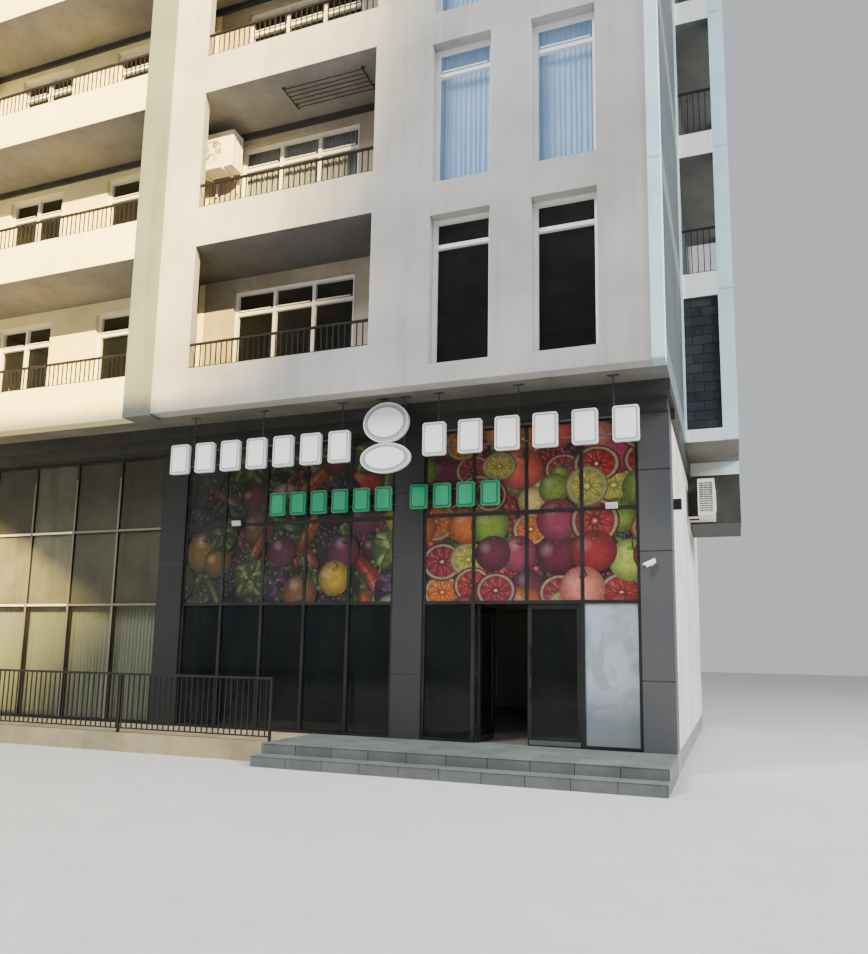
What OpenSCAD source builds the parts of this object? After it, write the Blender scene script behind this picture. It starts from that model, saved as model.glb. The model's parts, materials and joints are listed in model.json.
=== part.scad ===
// Apartment building with a double-height supermarket on its ground floor.
// Millimetres. X runs along the street front, Y goes back into the building, Z is up from the pavement.
// Plan dimensions are measured from the right front corner of the upper storeys.

/* [Storeys] */
// Height of one upper storey, floor to floor
storey_h = 3200; // [2900:50:3500]
// Height of the overhang's underside above the pavement
overhang_z = 6140; // [5600:20:6600]
// Rise of one entrance step
step_rise = 160; // [130:5:180]
// Thickness of a floor slab
slab_t = 200; // [160:10:260]
// Height of the roof parapet above the roof slab
roof_parapet_h = 600; // [300:50:1100]

/* [Plan] */
// Width of the wall between the main loggia and the pilaster
loggia_pier_w = 800; // [600:10:1000]
// Width of the pilaster between the main front and the wing
pilaster_w = 560; // [400:20:700]
// Clear width of the wing
wing_w = 5990; // [5400:10:6600]
// Depth of the building behind the front face
depth = 11000; // [10500:100:13000]
// How far the upper storeys stand out over the shopfront
overhang_d = 1400; // [1200:20:1600]
// Thickness of the front wall
front_t = 300; // [240:10:360]
// Thickness of the side, rear and inner walls
wall_t = 250; // [200:10:300]

/* [Front openings] */
// Width of the main loggia's opening
loggia_w = 3660; // [3200:20:3900]
// Distance of the loggia's opening from the corner
loggia_x = 4830; // [4600:10:5000]
// Height of the parapet's top above the storey's base
parapet_z = 790; // [700:10:900]
// Height of the top rail above the storey's base
rail_z = 1270; // [1200:10:1450]
// Width of a front window
window_w = 1050; // [900:10:1200]
// Distance of the left window from the corner
window_1_x = 2700; // [2600:10:3000]
// Distance of the right window from the corner
window_2_x = 960; // [800:10:1100]
// Height of a sill above the storey's base
sill_z = 333; // [300:1:500]
// Height of a window
window_h = 2604; // [2300:2:2700]
// Height of a top light
top_light_h = 450; // [300:10:600]
// Width of a window frame's bars
bar_w = 70; // [50:5:90]
// Depth of a window frame
frame_d = 70; // [50:5:90]
// How far a front window sits back from the wall's outer face
reveal_d = 200; // [80:10:200]
// How far a loggia, side or rear window sits back from its wall's face
inner_reveal_d = 90; // [60:10:110]
// Width of the window behind the main loggia
loggia_window_w = 2750; // [2400:10:2900]
// Distance of that window from the loggia's right wall
loggia_window_in = 1000; // [850:10:1100]
// Width of the wing's left window
wing_window_1_w = 1600; // [1300:10:1800]
// Distance of the wing's left window from the party wall
wing_window_1_in = 790; // [600:10:900]
// Width of the wing's right window
wing_window_2_w = 950; // [800:10:1050]
// Distance of the wing's right window from the pilaster
wing_window_2_in = 1350; // [1100:10:1450]
// Drop of the ceiling rib along the loggias' back walls
rib_h = 120; // [60:10:200]
// Depth of that rib
rib_d = 60; // [30:10:100]
// Thickness of a pane
pane_t = 24; // [16:2:32]
// Width of the pale strip at the corner
corner_strip_w = 190; // [120:10:300]
// How far the strips and pilaster stand proud of the front
pilaster_proud = 100; // [40:10:160]

/* [Shopfront] */
// Width of the right column
column_right_w = 490; // [400:10:560]
// Width of the middle column
column_middle_w = 540; // [400:10:600]
// Width of the left column
column_left_w = 560; // [400:10:600]
// Depth of a column
column_d = 500; // [400:10:600]
// Clear width of the right shop window bay
bay_right_w = 3760; // [3600:10:3900]
// Clear width of the left shop window bay
bay_left_w = 4570; // [4400:10:4700]
// How far the ground floor's side stands in from the upper side wall
side_inset = 70; // [40:10:120]
// Height of the lower transom above the shop floor
transom_1_z = 2350; // [2250:10:2500]
// Height of the upper transom above the shop floor
transom_2_z = 3890; // [3700:10:4000]
// Width of a shopfront post or transom
post_w = 60; // [50:5:80]
// Depth of a shopfront post
post_d = 120; // [100:5:150]
// How far the glazing stands behind the columns' front
glazing_set = 40; // [20:5:80]
// Thickness of the shop glass
shop_glass_t = 12; // [8:1:16]
// Depth of the outer beam under the overhang
beam_outer_h = 220; // [150:10:300]
// Depth of the inner beam below the outer one
beam_inner_h = 170; // [120:10:240]
// Distance of the outer beam's front behind the front face
beam_outer_y = 900; // [700:10:1000]
// Distance of the inner beam's front behind the front face
beam_inner_y = 1150; // [1100:10:1300]

// Height of the shop's ceiling above its floor
ceiling_z = 2630; // [2500:10:2900]
// Thickness of the shop's ceiling
ceiling_t = 40; // [20:5:60]

/* [Entrance doors] */
// Thickness of a door leaf
leaf_t = 50; // [40:2:60]
// Width of a leaf's stiles and top rail
stile_w = 75; // [60:5:100]
// Height of a leaf's bottom rail
bottom_rail_h = 110; // [80:5:200]
// Running gap round a leaf
leaf_gap = 6; // [5:1:8]
// Length of a pull handle
pull_h = 900; // [400:50:1200]
// Diameter of a pull handle
pull_d = 32; // [20:1:40]
// Distance of a pull handle's middle from the leaf's face
pull_off = 55; // [45:5:80]

/* [Entrance and terrace] */
// Distance of the platform's front before the front face
platform_y = 300; // [100:10:500]
// Going of the lower step
step_going = 300; // [280:10:350]
// Length of the steps
steps_w = 6350; // [5800:10:6500]
// Distance of the terrace's front before the front face
terrace_y = 100; // [80:10:150]
// Height of the terrace railing
fence_h = 1040; // [900:10:1100]
// Gap under the terrace railing
fence_gap = 70; // [40:5:100]
// Spacing of the terrace railing's posts
fence_post_pitch = 3100; // [2000:50:3300]

/* [Railings] */
// Spacing of upright bars
bar_pitch = 112; // [100:1:125]
// Thickness of an upright bar
bar_t = 18; // [12:1:20]
// Height of a rail
rail_t = 40; // [30:1:50]
// Distance of a railing behind its parapet's outer face
rail_set = 10; // [5:5:60]

/* [Side balconies] */
// Depth of the side balconies
side_bay_w = 1030; // [900:10:1100]
// Distance of the side balconies behind the front face
side_bay_y = 5000; // [4500:50:5500]
// Length of the side balconies
side_bay_l = 4000; // [3600:50:4500]
// Width of the corner piers
side_pier_w = 300; // [260:10:350]
// Drop of a side balcony's band below the storey's base
side_band_drop = 100; // [40:10:150]
// Height of a side balcony's band above the storey's base
side_band_z = 430; // [350:10:500]
// Height of a side balcony's rail above the storey's base
side_rail_z = 1430; // [1250:10:1500]
// Height of the lowest side balcony's kerb above the storey's base
side_kerb_h = 260; // [220:10:350]
// Thickness of a side balcony's band
side_band_t = 120; // [80:10:160]
// Thickness of the blockwork that closes the lowest side balcony
infill_t = 200; // [100:10:220]
// How far that blockwork stands behind the piers' outer faces
infill_set = 60; // [20:10:80]
// Width of a door onto a side balcony
side_door_w = 1000; // [800:10:1200]
// Height of the solid lower panel of such a door
side_door_panel_h = 800; // [600:50:1000]
// Distance of the closed bay below the side balconies behind their front
lower_bay_in = 1900; // [1600:50:2200]
// Height of that bay
lower_bay_h = 1400; // [1300:50:1500]
// Height of the beam along that bay's top
lower_beam_h = 300; // [250:10:350]

/* [Rear windows] */
// Width of a rear window
rear_window_w = 2000; // [1600:50:2400]
// Height of a rear window's sill above the storey's base
rear_sill_z = 1000; // [850:10:1200]

/* [Outdoor units] */
// Width of an outdoor unit's case
unit_w = 850; // [780:10:900]
// Height of the case
unit_h = 780; // [600:10:800]
// Depth of the case
unit_d = 340; // [280:10:380]
// Height of the loggia's unit above the storey's base
unit_front_z = 2190; // [2100:10:2290]
// Distance of the loggia's unit from the wall at its left
unit_front_in = 190; // [150:10:200]
// Distance of the loggia's unit from the wall behind it
unit_front_gap = 220; // [150:10:250]
// Distance of the side unit from the upper side wall's face
unit_side_x = 170; // [100:10:200]
// Height of the side unit's foot below the overhang
unit_side_drop = 1330; // [1250:10:1350]

/* [Signs] */
// Height of the upper sign tiles' middle above the shop floor
sign_z = 5010; // [4900:10:5050]
// Height of an upper sign tile
sign_h = 560; // [450:10:600]
// Width of an upper sign tile
sign_w = 400; // [300:10:430]
// Thickness of a sign tile
sign_t = 80; // [50:5:120]
// Distance of the hanging signs behind the front face
sign_y = 510; // [450:10:600]
// Length of the left row of upper tiles
row_left_l = 3750; // [3400:10:3900]
// Length of the right row of upper tiles
row_right_l = 3530; // [3300:10:3550]
// Distance of the two oval plates' middle from the corner
oval_x = 4650; // [4600:10:4750]
// Clear distance between the oval plates' middle and each row of tiles
oval_clear = 685; // [600:5:700]
// Width of the upper oval plate
oval_top_w = 840; // [700:10:950]
// Height of the upper oval plate
oval_top_h = 700; // [600:10:740]
// Width of the lower oval plate
oval_low_w = 920; // [750:10:1000]
// Height of the lower oval plate
oval_low_h = 520; // [400:10:600]
// Distance of the lower tiles' left end from the oval plates' middle
low_row_in = 2780; // [2600:20:3000]
// Height of the lower tiles' middle above the shop floor
low_sign_z = 4230; // [4180:10:4280]
// Height of a lower tile
low_sign_h = 440; // [350:10:500]
// Width of a lower tile
low_sign_w = 330; // [260:10:380]
// Spacing of the lower tiles
low_sign_pitch = 440; // [400:5:480]
// Gap between the two groups of lower tiles
low_sign_gap = 360; // [200:10:500]
// Thickness of a lower tile
low_sign_t = 60; // [40:5:80]
// Diameter of a hanging rod
rod_d = 22; // [16:1:24]
// Height and depth of a rail behind the tiles
sign_rail_t = 26; // [25:1:40]

/* [Hidden] */
storeys = 4;
steps = 2;
pilaster_drop = 60;
wing_drop = 40;
strip_proud = 20;
divider_in = 150;

// Levels
floor_z = steps * step_rise;
shop_top = overhang_z - beam_outer_h - beam_inner_h;
roof_z = overhang_z + storeys * storey_h;
top_z = roof_z + slab_t + roof_parapet_h;
clear_h = storey_h - slab_t;
function base_z(k) = overhang_z + k * storey_h;
function front_z(k) = [base_z(k) + sill_z, base_z(k) + sill_z + window_h];

// Lines of the plan along X, from the corner at 0 towards the wing
x_strip = -corner_strip_w;
x_inner = -wall_t;
x_pil_right = -loggia_x - loggia_w - loggia_pier_w;
x_pil_left = x_pil_right - pilaster_w;
x_party = x_pil_left - wing_w;
x_divider = [x_pil_left + divider_in, x_pil_right - divider_in];
x_left = x_party - wall_t;
x_loggia = [-loggia_x - loggia_w, -loggia_x];
x_loggia_window = [x_loggia[1] - loggia_window_in - loggia_window_w, x_loggia[1] - loggia_window_in];
x_wing_1 = [x_party + wing_window_1_in, x_party + wing_window_1_in + wing_window_1_w];
x_wing_2 = [x_pil_left - wing_window_2_in - wing_window_2_w, x_pil_left - wing_window_2_in];
x_window_1 = [-window_1_x - window_w, -window_1_x];
x_window_2 = [-window_2_x - window_w, -window_2_x];
x_side_out = -side_inset;
x_side_in = x_side_out - wall_t;
x_col_right = [x_side_out - column_right_w, x_side_out];
x_bay_right = [x_col_right[0] - bay_right_w, x_col_right[0]];
x_col_middle = [x_bay_right[0] - column_middle_w, x_bay_right[0]];
x_bay_left = [x_col_middle[0] - bay_left_w, x_col_middle[0]];
x_col_left = [x_bay_left[0] - column_left_w, x_bay_left[0]];
x_wing_bay = [x_party, x_col_left[0]];

// Lines of the plan along Y, from the front face at 0
y_shop = overhang_d;
y_glaze = y_shop + glazing_set;
y_back_in = depth - wall_t;
y_front = -platform_y - step_going;

// Middle of the whole footprint, which is the origin
mid_x = (x_left + side_bay_w) / 2;
mid_y = (y_front + depth) / 2;

// A block given by its spans along X, Y and Z
module block(x, y, z) {
    translate([x[0] - mid_x, y[0] - mid_y, z[0]])
        cube([x[1] - x[0], y[1] - y[0], z[1] - z[0]]);
}

// An upright or level rod given by its start, length and direction
module rod(x, y, z, d, l, turn = [0, 0, 0]) {
    translate([x - mid_x, y - mid_y, z])
        rotate(turn)
            cylinder(d = d, h = l, $fn = 24);
}

// Joins a window's frame: an outer ring, posts between the lights and one transom
module window_frame(x, y, z, lights, transom) {
    light_w = (x[1] - x[0] - bar_w) / lights;
    difference() {
        block(x, y, z);
        for (i = [0 : lights - 1]) {
            light_x = [x[0] + bar_w + i * light_w, x[0] + (i + 1) * light_w];
            cut_y = [y[0] - 1, y[1] + 1];
            block(light_x, cut_y, [z[0] + bar_w, z[1] - transom - bar_w]);
            block(light_x, cut_y, [z[1] - transom, z[1] - bar_w]);
        }
    }
}

// The panes of such a frame, seated against its back
module window_pane(x, y, z) {
    block(x, [y[1], y[1] + pane_t], z);
}

// A railing panel along X: two level rails and upright bars between them
module railing_x(x, y, z) {
    bars = floor((x[1] - x[0]) / bar_pitch);
    pitch = (x[1] - x[0]) / bars;
    block(x, [y, y + rail_t], [z[1] - rail_t, z[1]]);
    block(x, [y, y + rail_t], [z[0], z[0] + rail_t / 2]);
    for (i = [1 : bars - 1])
        block([x[0] + i * pitch - bar_t / 2, x[0] + i * pitch + bar_t / 2],
              [y + (rail_t - bar_t) / 2, y + (rail_t + bar_t) / 2], z);
}

// A railing panel along Y
module railing_y(x, y, z) {
    bars = floor((y[1] - y[0]) / bar_pitch);
    pitch = (y[1] - y[0]) / bars;
    block([x, x + rail_t], y, [z[1] - rail_t, z[1]]);
    block([x, x + rail_t], y, [z[0], z[0] + rail_t / 2]);
    for (i = [1 : bars - 1])
        block([x + (rail_t - bar_t) / 2, x + (rail_t + bar_t) / 2],
              [y[0] + i * pitch - bar_t / 2, y[0] + i * pitch + bar_t / 2], z);
}

// Shop floor inside, with the glazing standing on its front edge
module floor_slab() {
    color("gray") block([x_left, x_side_out], [y_shop, depth], [0, floor_z]);
}

// Raised terrace before the wing and the left shop window
module terrace() {
    color("tan") block([x_left, -steps_w], [-terrace_y, y_shop], [0, floor_z]);
}

// Platform before the doors with one lower step along its front
module entrance_steps() {
    color("dimgray") {
        block([-steps_w, x_side_out], [-platform_y, y_shop], [0, floor_z]);
        block([-steps_w, x_side_out], [y_front, -platform_y], [0, step_rise]);
    }
}

fence_y = -terrace_y + rail_t;
module terrace_railing() {
    fence_x = [x_left, -steps_w];
    color("black") {
        railing_x(fence_x, fence_y, [floor_z + fence_gap, floor_z + fence_h]);
        for (p = [fence_x[1] - rail_t : -fence_post_pitch : fence_x[0]])
            block([p, p + rail_t], [fence_y, fence_y + rail_t], [floor_z, floor_z + fence_h]);
    }
}

module shop_columns() {
    color("dimgray")
        for (x = [x_col_left, x_col_middle, x_col_right])
            block(x, [y_shop, y_shop + column_d], [floor_z, shop_top]);
}

// The cells between a shopfront bay's bars. With doors, the two middle cells of the lowest row are
// left out, because the doors stand there.
pane_set = 30;
module shopfront_cells(x, panels, y, doors = false) {
    panel_w = (x[1] - x[0]) / panels;
    half = post_w / 2;
    rows = [floor_z, floor_z + transom_1_z, floor_z + transom_2_z, shop_top];
    for (i = [0 : panels - 1], r = [0 : 2]) {
        left = x[0] + i * panel_w + (i == 0 ? post_w : half);
        right = x[0] + (i + 1) * panel_w - (i == panels - 1 ? post_w : half);
        low = rows[r] + (r == 0 ? post_w : half);
        high = rows[r + 1] - (r == 2 ? post_w : half);
        if (!(doors && r == 0 && (i == 1 || i == 2)))
            block([left, right], y, [low, high]);
    }
}

// A shopfront bay: outer ring, posts and two transoms
module shopfront(x, panels, doors = false) {
    cut_y = [y_glaze - 1, y_glaze + post_d + 1];
    difference() {
        block(x, [y_glaze, y_glaze + post_d], [floor_z, shop_top]);
        shopfront_cells(x, panels, cut_y, doors);
        if (doors)
            block(door_x, cut_y, [floor_z - 1, floor_z + transom_1_z - post_w / 2]);
    }
}

// One pane in each cell of such a bay, near the frame's front
module shop_glass(x, panels, doors = false) {
    shopfront_cells(x, panels, [y_glaze + pane_set, y_glaze + pane_set + shop_glass_t], doors);
}

panel_right_w = bay_right_w / 4;
door_x = [x_bay_right[0] + panel_right_w + post_w / 2, x_bay_right[0] + 3 * panel_right_w - post_w / 2];
module shopfront_frame_left() { color("black") shopfront(x_bay_left, 5); }
module shopfront_frame_right() {
    color("black") {
        shopfront(x_bay_right, 4, true);
        at_left_hinge(0) jamb_knuckles();
        at_right_hinge() jamb_knuckles();
    }
}
module wing_shopfront_frame() { color("black") shopfront(x_wing_bay, 5); }
module shopfront_glass_left() { color("slategray") shop_glass(x_bay_left, 5); }
module shopfront_glass_right() { color("slategray") shop_glass(x_bay_right, 4, true); }
module wing_shopfront_glass() { color("slategray") shop_glass(x_wing_bay, 5); }

// A door leaf in its own frame: hinge line at the origin, closed along +X, street side towards -Y.
// The hinge line stands just behind the leaf's inner face, so the leaf swings clear of the jamb.
leaf_w = (door_x[1] - door_x[0] - 3 * leaf_gap) / 2;
leaf_z = [floor_z + leaf_gap, floor_z + transom_1_z - post_w / 2 - leaf_gap];
hinge_in = 3;
hinge_back = 9;
barrel_r = 8.5;
knuckle_h = 40;
knuckle_gap = 0.3;
flap_w = 36;
flap_t = 3;
hinge_heights = [for (share = [0.11, 0.5, 0.89]) leaf_z[0] + share * (leaf_z[1] - leaf_z[0])];
hinge_y = y_glaze + post_d + hinge_back;
leaf_light_w = leaf_w - 2 * stile_w;
leaf_light_h = leaf_z[1] - leaf_z[0] - bottom_rail_h - stile_w;
module in_leaf() {
    translate([leaf_gap - hinge_in, -hinge_back - leaf_t, 0]) children();
}
module leaf_frame() {
    pull_x = leaf_w - stile_w / 2;
    pull_z = (leaf_z[0] + leaf_z[1] - pull_h) / 2;
    in_leaf() {
        difference() {
            translate([0, 0, leaf_z[0]]) cube([leaf_w, leaf_t, leaf_z[1] - leaf_z[0]]);
            translate([stile_w, -1, leaf_z[0] + bottom_rail_h]) cube([leaf_light_w, leaf_t + 2, leaf_light_h]);
        }
        for (side = [-pull_off, leaf_t + pull_off])
            translate([pull_x, side, pull_z]) cylinder(d = pull_d, h = pull_h, $fn = 24);
        for (h = [0.15, 0.85], start = [-pull_off, leaf_t])
            translate([pull_x, start, pull_z + h * pull_h])
                rotate([-90, 0, 0])
                    cylinder(d = pull_d / 2, h = pull_off, $fn = 24);
    }
    for (h = hinge_heights) {
        translate([0, 0, h - knuckle_h / 2]) cylinder(r = barrel_r, h = knuckle_h, $fn = 24);
        translate([0, -hinge_back, h - knuckle_h / 2]) cube([flap_w, flap_t, knuckle_h]);
    }
}
module leaf_pane() {
    in_leaf()
        translate([stile_w, (leaf_t - shop_glass_t) / 2, leaf_z[0] + bottom_rail_h])
            cube([leaf_light_w, shop_glass_t, leaf_light_h]);
}

// The frame's own knuckles, above and below each of the leaf's, in the same hinge frame
module jamb_knuckles() {
    for (h = hinge_heights, low = [-1.5, 0.5]) {
        z = h + low * knuckle_h + (low > 0 ? knuckle_gap : -knuckle_gap);
        translate([0, 0, z]) cylinder(r = barrel_r, h = knuckle_h, $fn = 24);
        translate([-flap_w, -hinge_back, z]) cube([flap_w, flap_t, knuckle_h]);
    }
}
module at_left_hinge(turn = 90) {
    translate([door_x[0] + hinge_in - mid_x, hinge_y - mid_y, 0]) rotate([0, 0, turn]) children();
}
module at_right_hinge() {
    translate([door_x[1] - hinge_in - mid_x, hinge_y - mid_y, 0]) mirror([1, 0, 0]) children();
}
module door_left_leaf() { color("black") at_left_hinge() leaf_frame(); }
module door_left_glass() { color("slategray") at_left_hinge() leaf_pane(); }
module door_right_leaf() { color("black") at_right_hinge() leaf_frame(); }
module door_right_glass() { color("slategray") at_right_hinge() leaf_pane(); }

// Ceiling of the shop, cut round the columns
module shop_ceiling() {
    z = [floor_z + ceiling_z, floor_z + ceiling_z + ceiling_t];
    color("white")
        difference() {
            block([x_party, x_side_in], [y_glaze + post_d, y_back_in], z);
            for (x = [x_col_left, x_col_middle, x_col_right])
                block(x, [y_shop, y_shop + column_d], [z[0] - 1, z[1] + 1]);
        }
}

// Slab over the shop, whose front part is the underside of the overhang
module soffit_slab() {
    color("gray") block([x_party, x_inner], [front_t, y_back_in], [overhang_z, overhang_z + slab_t]);
}

module edge_beam_outer() {
    color("gray")
        block([x_party, 0], [beam_outer_y, y_shop + column_d], [overhang_z - beam_outer_h, overhang_z]);
}

module edge_beam_inner() {
    color("dimgray")
        block([x_party, x_side_out], [beam_inner_y, y_shop + column_d], [shop_top, overhang_z - beam_outer_h]);
}

// Beam along the side wall, under the side of the upper storeys
module side_beam() {
    color("gray") block([x_side_in, 0], [y_shop + column_d, depth], [shop_top, overhang_z]);
}

module ground_side_wall() {
    color("white") block([x_side_in, x_side_out], [y_shop + column_d, depth], [floor_z, shop_top]);
}

module ground_rear_wall() {
    color("lightgray") block([x_party, x_side_in], [y_back_in, depth], [floor_z, overhang_z]);
}

// Plain wall where the row of houses goes on
module party_wall() {
    color("lightgray") {
        block([x_left, x_party], [0, depth], [overhang_z, top_z]);
        block([x_left, x_party], [y_shop, depth], [floor_z, overhang_z]);
    }
}

// Front wall of one storey, with the splayed loggia opening and two windows
splay = 120;
module front_wall(k) {
    z = base_z(k);
    cut = [-1, front_t + 1];
    color("lightgray")
        difference() {
            block([x_pil_right, x_strip], [0, front_t], [z, z + storey_h + (k == storeys - 1 ? slab_t : 0)]);
            loggia_hole(z);
            for (x = [x_window_1, x_window_2])
                block(x, cut, front_z(k));
        }
}
module loggia_hole(z) {
    translate([-mid_x, -mid_y, z + parapet_z])
        linear_extrude(storey_h - parapet_z)
            polygon([[x_loggia[0], -1], [x_loggia[1], -1], [x_loggia[1], front_t + 1],
                     [x_loggia[0] - splay, front_t + 1]]);
}
module front_wall_1() { front_wall(0); }
module front_wall_2() { front_wall(1); }
module front_wall_3() { front_wall(2); }
module front_wall_4() { front_wall(3); }

// Full-height pilaster, which is also the wall between the loggias
module pilaster_left() {
    color("lightblue") {
        block([x_pil_left, x_pil_right], [-pilaster_proud, front_t], [overhang_z - pilaster_drop, top_z]);
        for (k = [0 : storeys - 1])
            block(x_divider, [front_t, y_shop], [base_z(k) + slab_t, base_z(k + 1)]);
    }
}

module corner_strip() {
    color("lightblue") block([x_strip, 0], [-strip_proud, front_t], [overhang_z, top_z]);
}

// A rib along the ceiling, on the face of the loggias' back walls, above the lowest storey
module ceiling_rib(x, k) {
    if (k > 0)
        block(x, [y_shop - rib_d, y_shop], [base_z(k + 1) - rib_h, base_z(k + 1)]);
}

// Wall behind each main loggia, with its return beside the window room
module loggia_walls() {
    color("lightgray")
        for (k = [0 : storeys - 1]) {
            z = [base_z(k) + slab_t, base_z(k + 1)];
            difference() {
                union() {
                    block([x_pil_right, x_loggia[1] + wall_t], [y_shop, y_shop + wall_t], z);
                    block([x_loggia[1], x_loggia[1] + wall_t], [front_t, y_shop], z);
                    ceiling_rib([x_divider[1], x_loggia[1]], k);
                }
                block(x_loggia_window, [y_shop - 1, y_shop + wall_t + 1], front_z(k));
            }
        }
}

module wing_parapets() {
    color("wheat")
        for (k = [0 : storeys])
            block([x_party, x_pil_left], [0, front_t],
                  [k == 0 ? base_z(0) - wing_drop : base_z(k), k == storeys ? top_z : base_z(k) + parapet_z]);
}

module wing_back_walls() {
    color("wheat")
        for (k = [0 : storeys - 1])
            difference() {
                union() {
                    block([x_party, x_pil_right], [y_shop, y_shop + wall_t], [base_z(k) + slab_t, base_z(k + 1)]);
                    ceiling_rib([x_party, x_divider[0]], k);
                }
                for (x = [x_wing_1, x_wing_2])
                    block(x, [y_shop - 1, y_shop + wall_t + 1], front_z(k));
            }
}

module upper_floor_slabs() {
    color("gray")
        for (k = [1 : storeys - 1])
            block([x_party, x_inner], [front_t, y_back_in], [base_z(k), base_z(k) + slab_t]);
}

module roof_slab() {
    color("gray") block([x_party, x_inner], [front_t, y_back_in], [roof_z, roof_z + slab_t]);
}

module roof_parapet() {
    color("lightgray")
        block([x_pil_right, x_strip], [0, front_t], [roof_z + slab_t, top_z]);
}

side_door_y = [for (side = [-1, 1]) side_bay_y + (side_bay_l + side * side_door_w) / 2];
function side_door_z(k) = [base_z(k) + slab_t, base_z(k) + sill_z + window_h];
module side_wall_upper() {
    color("gray")
        difference() {
            block([x_inner, 0], [front_t, depth], [overhang_z, top_z]);
            for (k = [0 : storeys - 1])
                block([x_inner - 1, 1], side_door_y, side_door_z(k));
        }
}

// Rear windows, one in the middle of each quarter of the rear wall
rear_bays = 4;
rear_bay_w = (x_inner - x_party) / rear_bays;
rear_window_x = [for (i = [0 : rear_bays - 1])
    [for (side = [-1, 1]) x_party + (i + 0.5) * rear_bay_w + side * rear_window_w / 2]];
function rear_z(k) = [base_z(k) + rear_sill_z, base_z(k) + sill_z + window_h];
module rear_wall_upper() {
    color("lightgray")
        difference() {
            block([x_party, x_inner], [y_back_in, depth], [overhang_z, top_z]);
            for (k = [0 : storeys - 1], x = rear_window_x)
                block(x, [y_back_in - 1, depth + 1], rear_z(k));
        }
}

// Frames of the front, the loggias and the wing
front_frame_y = [reveal_d, reveal_d + frame_d];
inner_frame_y = [y_shop + inner_reveal_d, y_shop + inner_reveal_d + frame_d];
module front_window_frames() {
    color("white")
        for (k = [0 : storeys - 1]) {
            for (x = [x_window_1, x_window_2])
                window_frame(x, front_frame_y, front_z(k), 1, top_light_h);
            window_frame(x_loggia_window, inner_frame_y, front_z(k), 3, top_light_h);
            window_frame(x_wing_1, inner_frame_y, front_z(k), 2, top_light_h);
            window_frame(x_wing_2, inner_frame_y, front_z(k), 1, top_light_h);
        }
}
module front_window_glass() {
    color("slategray")
        for (k = [0 : storeys - 1]) {
            for (x = [x_window_1, x_window_2])
                window_pane(x, front_frame_y, front_z(k));
            for (x = [x_loggia_window, x_wing_1, x_wing_2])
                window_pane(x, inner_frame_y, front_z(k));
        }
}

rear_frame_y = [depth - inner_reveal_d - frame_d, depth - inner_reveal_d];
module rear_window_frames() {
    color("white")
        for (k = [0 : storeys - 1], x = rear_window_x)
            window_frame(x, rear_frame_y, rear_z(k), 2, top_light_h);
}
module rear_window_glass() {
    color("slategray")
        for (k = [0 : storeys - 1], x = rear_window_x)
            block(x, [rear_frame_y[0] - pane_t, rear_frame_y[0]], rear_z(k));
}

// Doors onto the side balconies: a frame with a solid lower panel, a tall light and a top light
side_frame_x = [-inner_reveal_d - frame_d, -inner_reveal_d];
module side_door_frames() {
    cut_x = [side_frame_x[0] - 1, side_frame_x[1] + 1];
    light_y = [side_door_y[0] + bar_w, side_door_y[1] - bar_w];
    color("white")
        for (k = [0 : storeys - 1]) {
            z = side_door_z(k);
            difference() {
                block(side_frame_x, side_door_y, z);
                block(cut_x, light_y, [z[0] + side_door_panel_h, z[1] - top_light_h - bar_w]);
                block(cut_x, light_y, [z[1] - top_light_h, z[1] - bar_w]);
            }
        }
}
module side_door_glass() {
    color("slategray")
        for (k = [0 : storeys - 1])
            block([side_frame_x[0] - pane_t, side_frame_x[0]], side_door_y, side_door_z(k));
}

module loggia_railings() {
    color("black")
        for (k = [0 : storeys - 1])
            railing_x(x_loggia, rail_set, [base_z(k) + parapet_z, base_z(k) + rail_z]);
}

module wing_railings() {
    color("black")
        for (k = [0 : storeys - 1])
            railing_x([x_party, x_pil_left], rail_set, [base_z(k) + parapet_z, base_z(k) + rail_z]);
}

// Side balconies: a slab with a low band round its three outer edges, between two corner piers
side_y = [side_bay_y, side_bay_y + side_bay_l];
side_pier_x = [side_bay_w - side_pier_w, side_bay_w];
side_pier_front_y = [side_y[0], side_y[0] + side_pier_w];
side_pier_rear_y = [side_y[1] - side_pier_w, side_y[1]];
lower_bay_y = [side_y[0] + lower_bay_in, side_y[1]];
lower_bay_z = [overhang_z - lower_bay_h, overhang_z];
edge_strip = [45, 40];
module side_piers() {
    color("lightblue") {
        block([0, edge_strip[0]], [side_y[0] - edge_strip[1], side_y[0]], [overhang_z, top_z]);
        for (y = [side_pier_front_y, side_pier_rear_y])
            block(side_pier_x, y, [overhang_z, top_z]);
        block(side_pier_x, [lower_bay_y[0], lower_bay_y[0] + side_pier_w], [overhang_z - lower_beam_h, overhang_z]);
    }
}

// One balcony from its underside to its top, cut clear of the piers
module side_balcony(z) {
    cut_z = [z[0] - 1, z[1] + 1];
    difference() {
        block([0, side_bay_w], side_y, z);
        block([side_pier_x[0], side_pier_x[1] + 1], [side_y[0] - 1, side_pier_front_y[1]], cut_z);
        block([side_pier_x[0], side_pier_x[1] + 1], [side_pier_rear_y[0], side_y[1] + 1], cut_z);
    }
}
module side_balconies() {
    inside_y = [side_y[0] + side_band_t, side_y[1] - side_band_t];
    color("lightgray") {
        side_balcony([base_z(0), base_z(0) + side_kerb_h]);
        for (k = [1 : storeys - 1])
            difference() {
                side_balcony([base_z(k) - side_band_drop, base_z(k) + side_band_z]);
                block([-1, side_bay_w - side_band_t], inside_y, [base_z(k) + slab_t, base_z(k) + side_band_z + 1]);
            }
        side_balcony([roof_z - side_band_drop, roof_z + slab_t]);
    }
}
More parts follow.
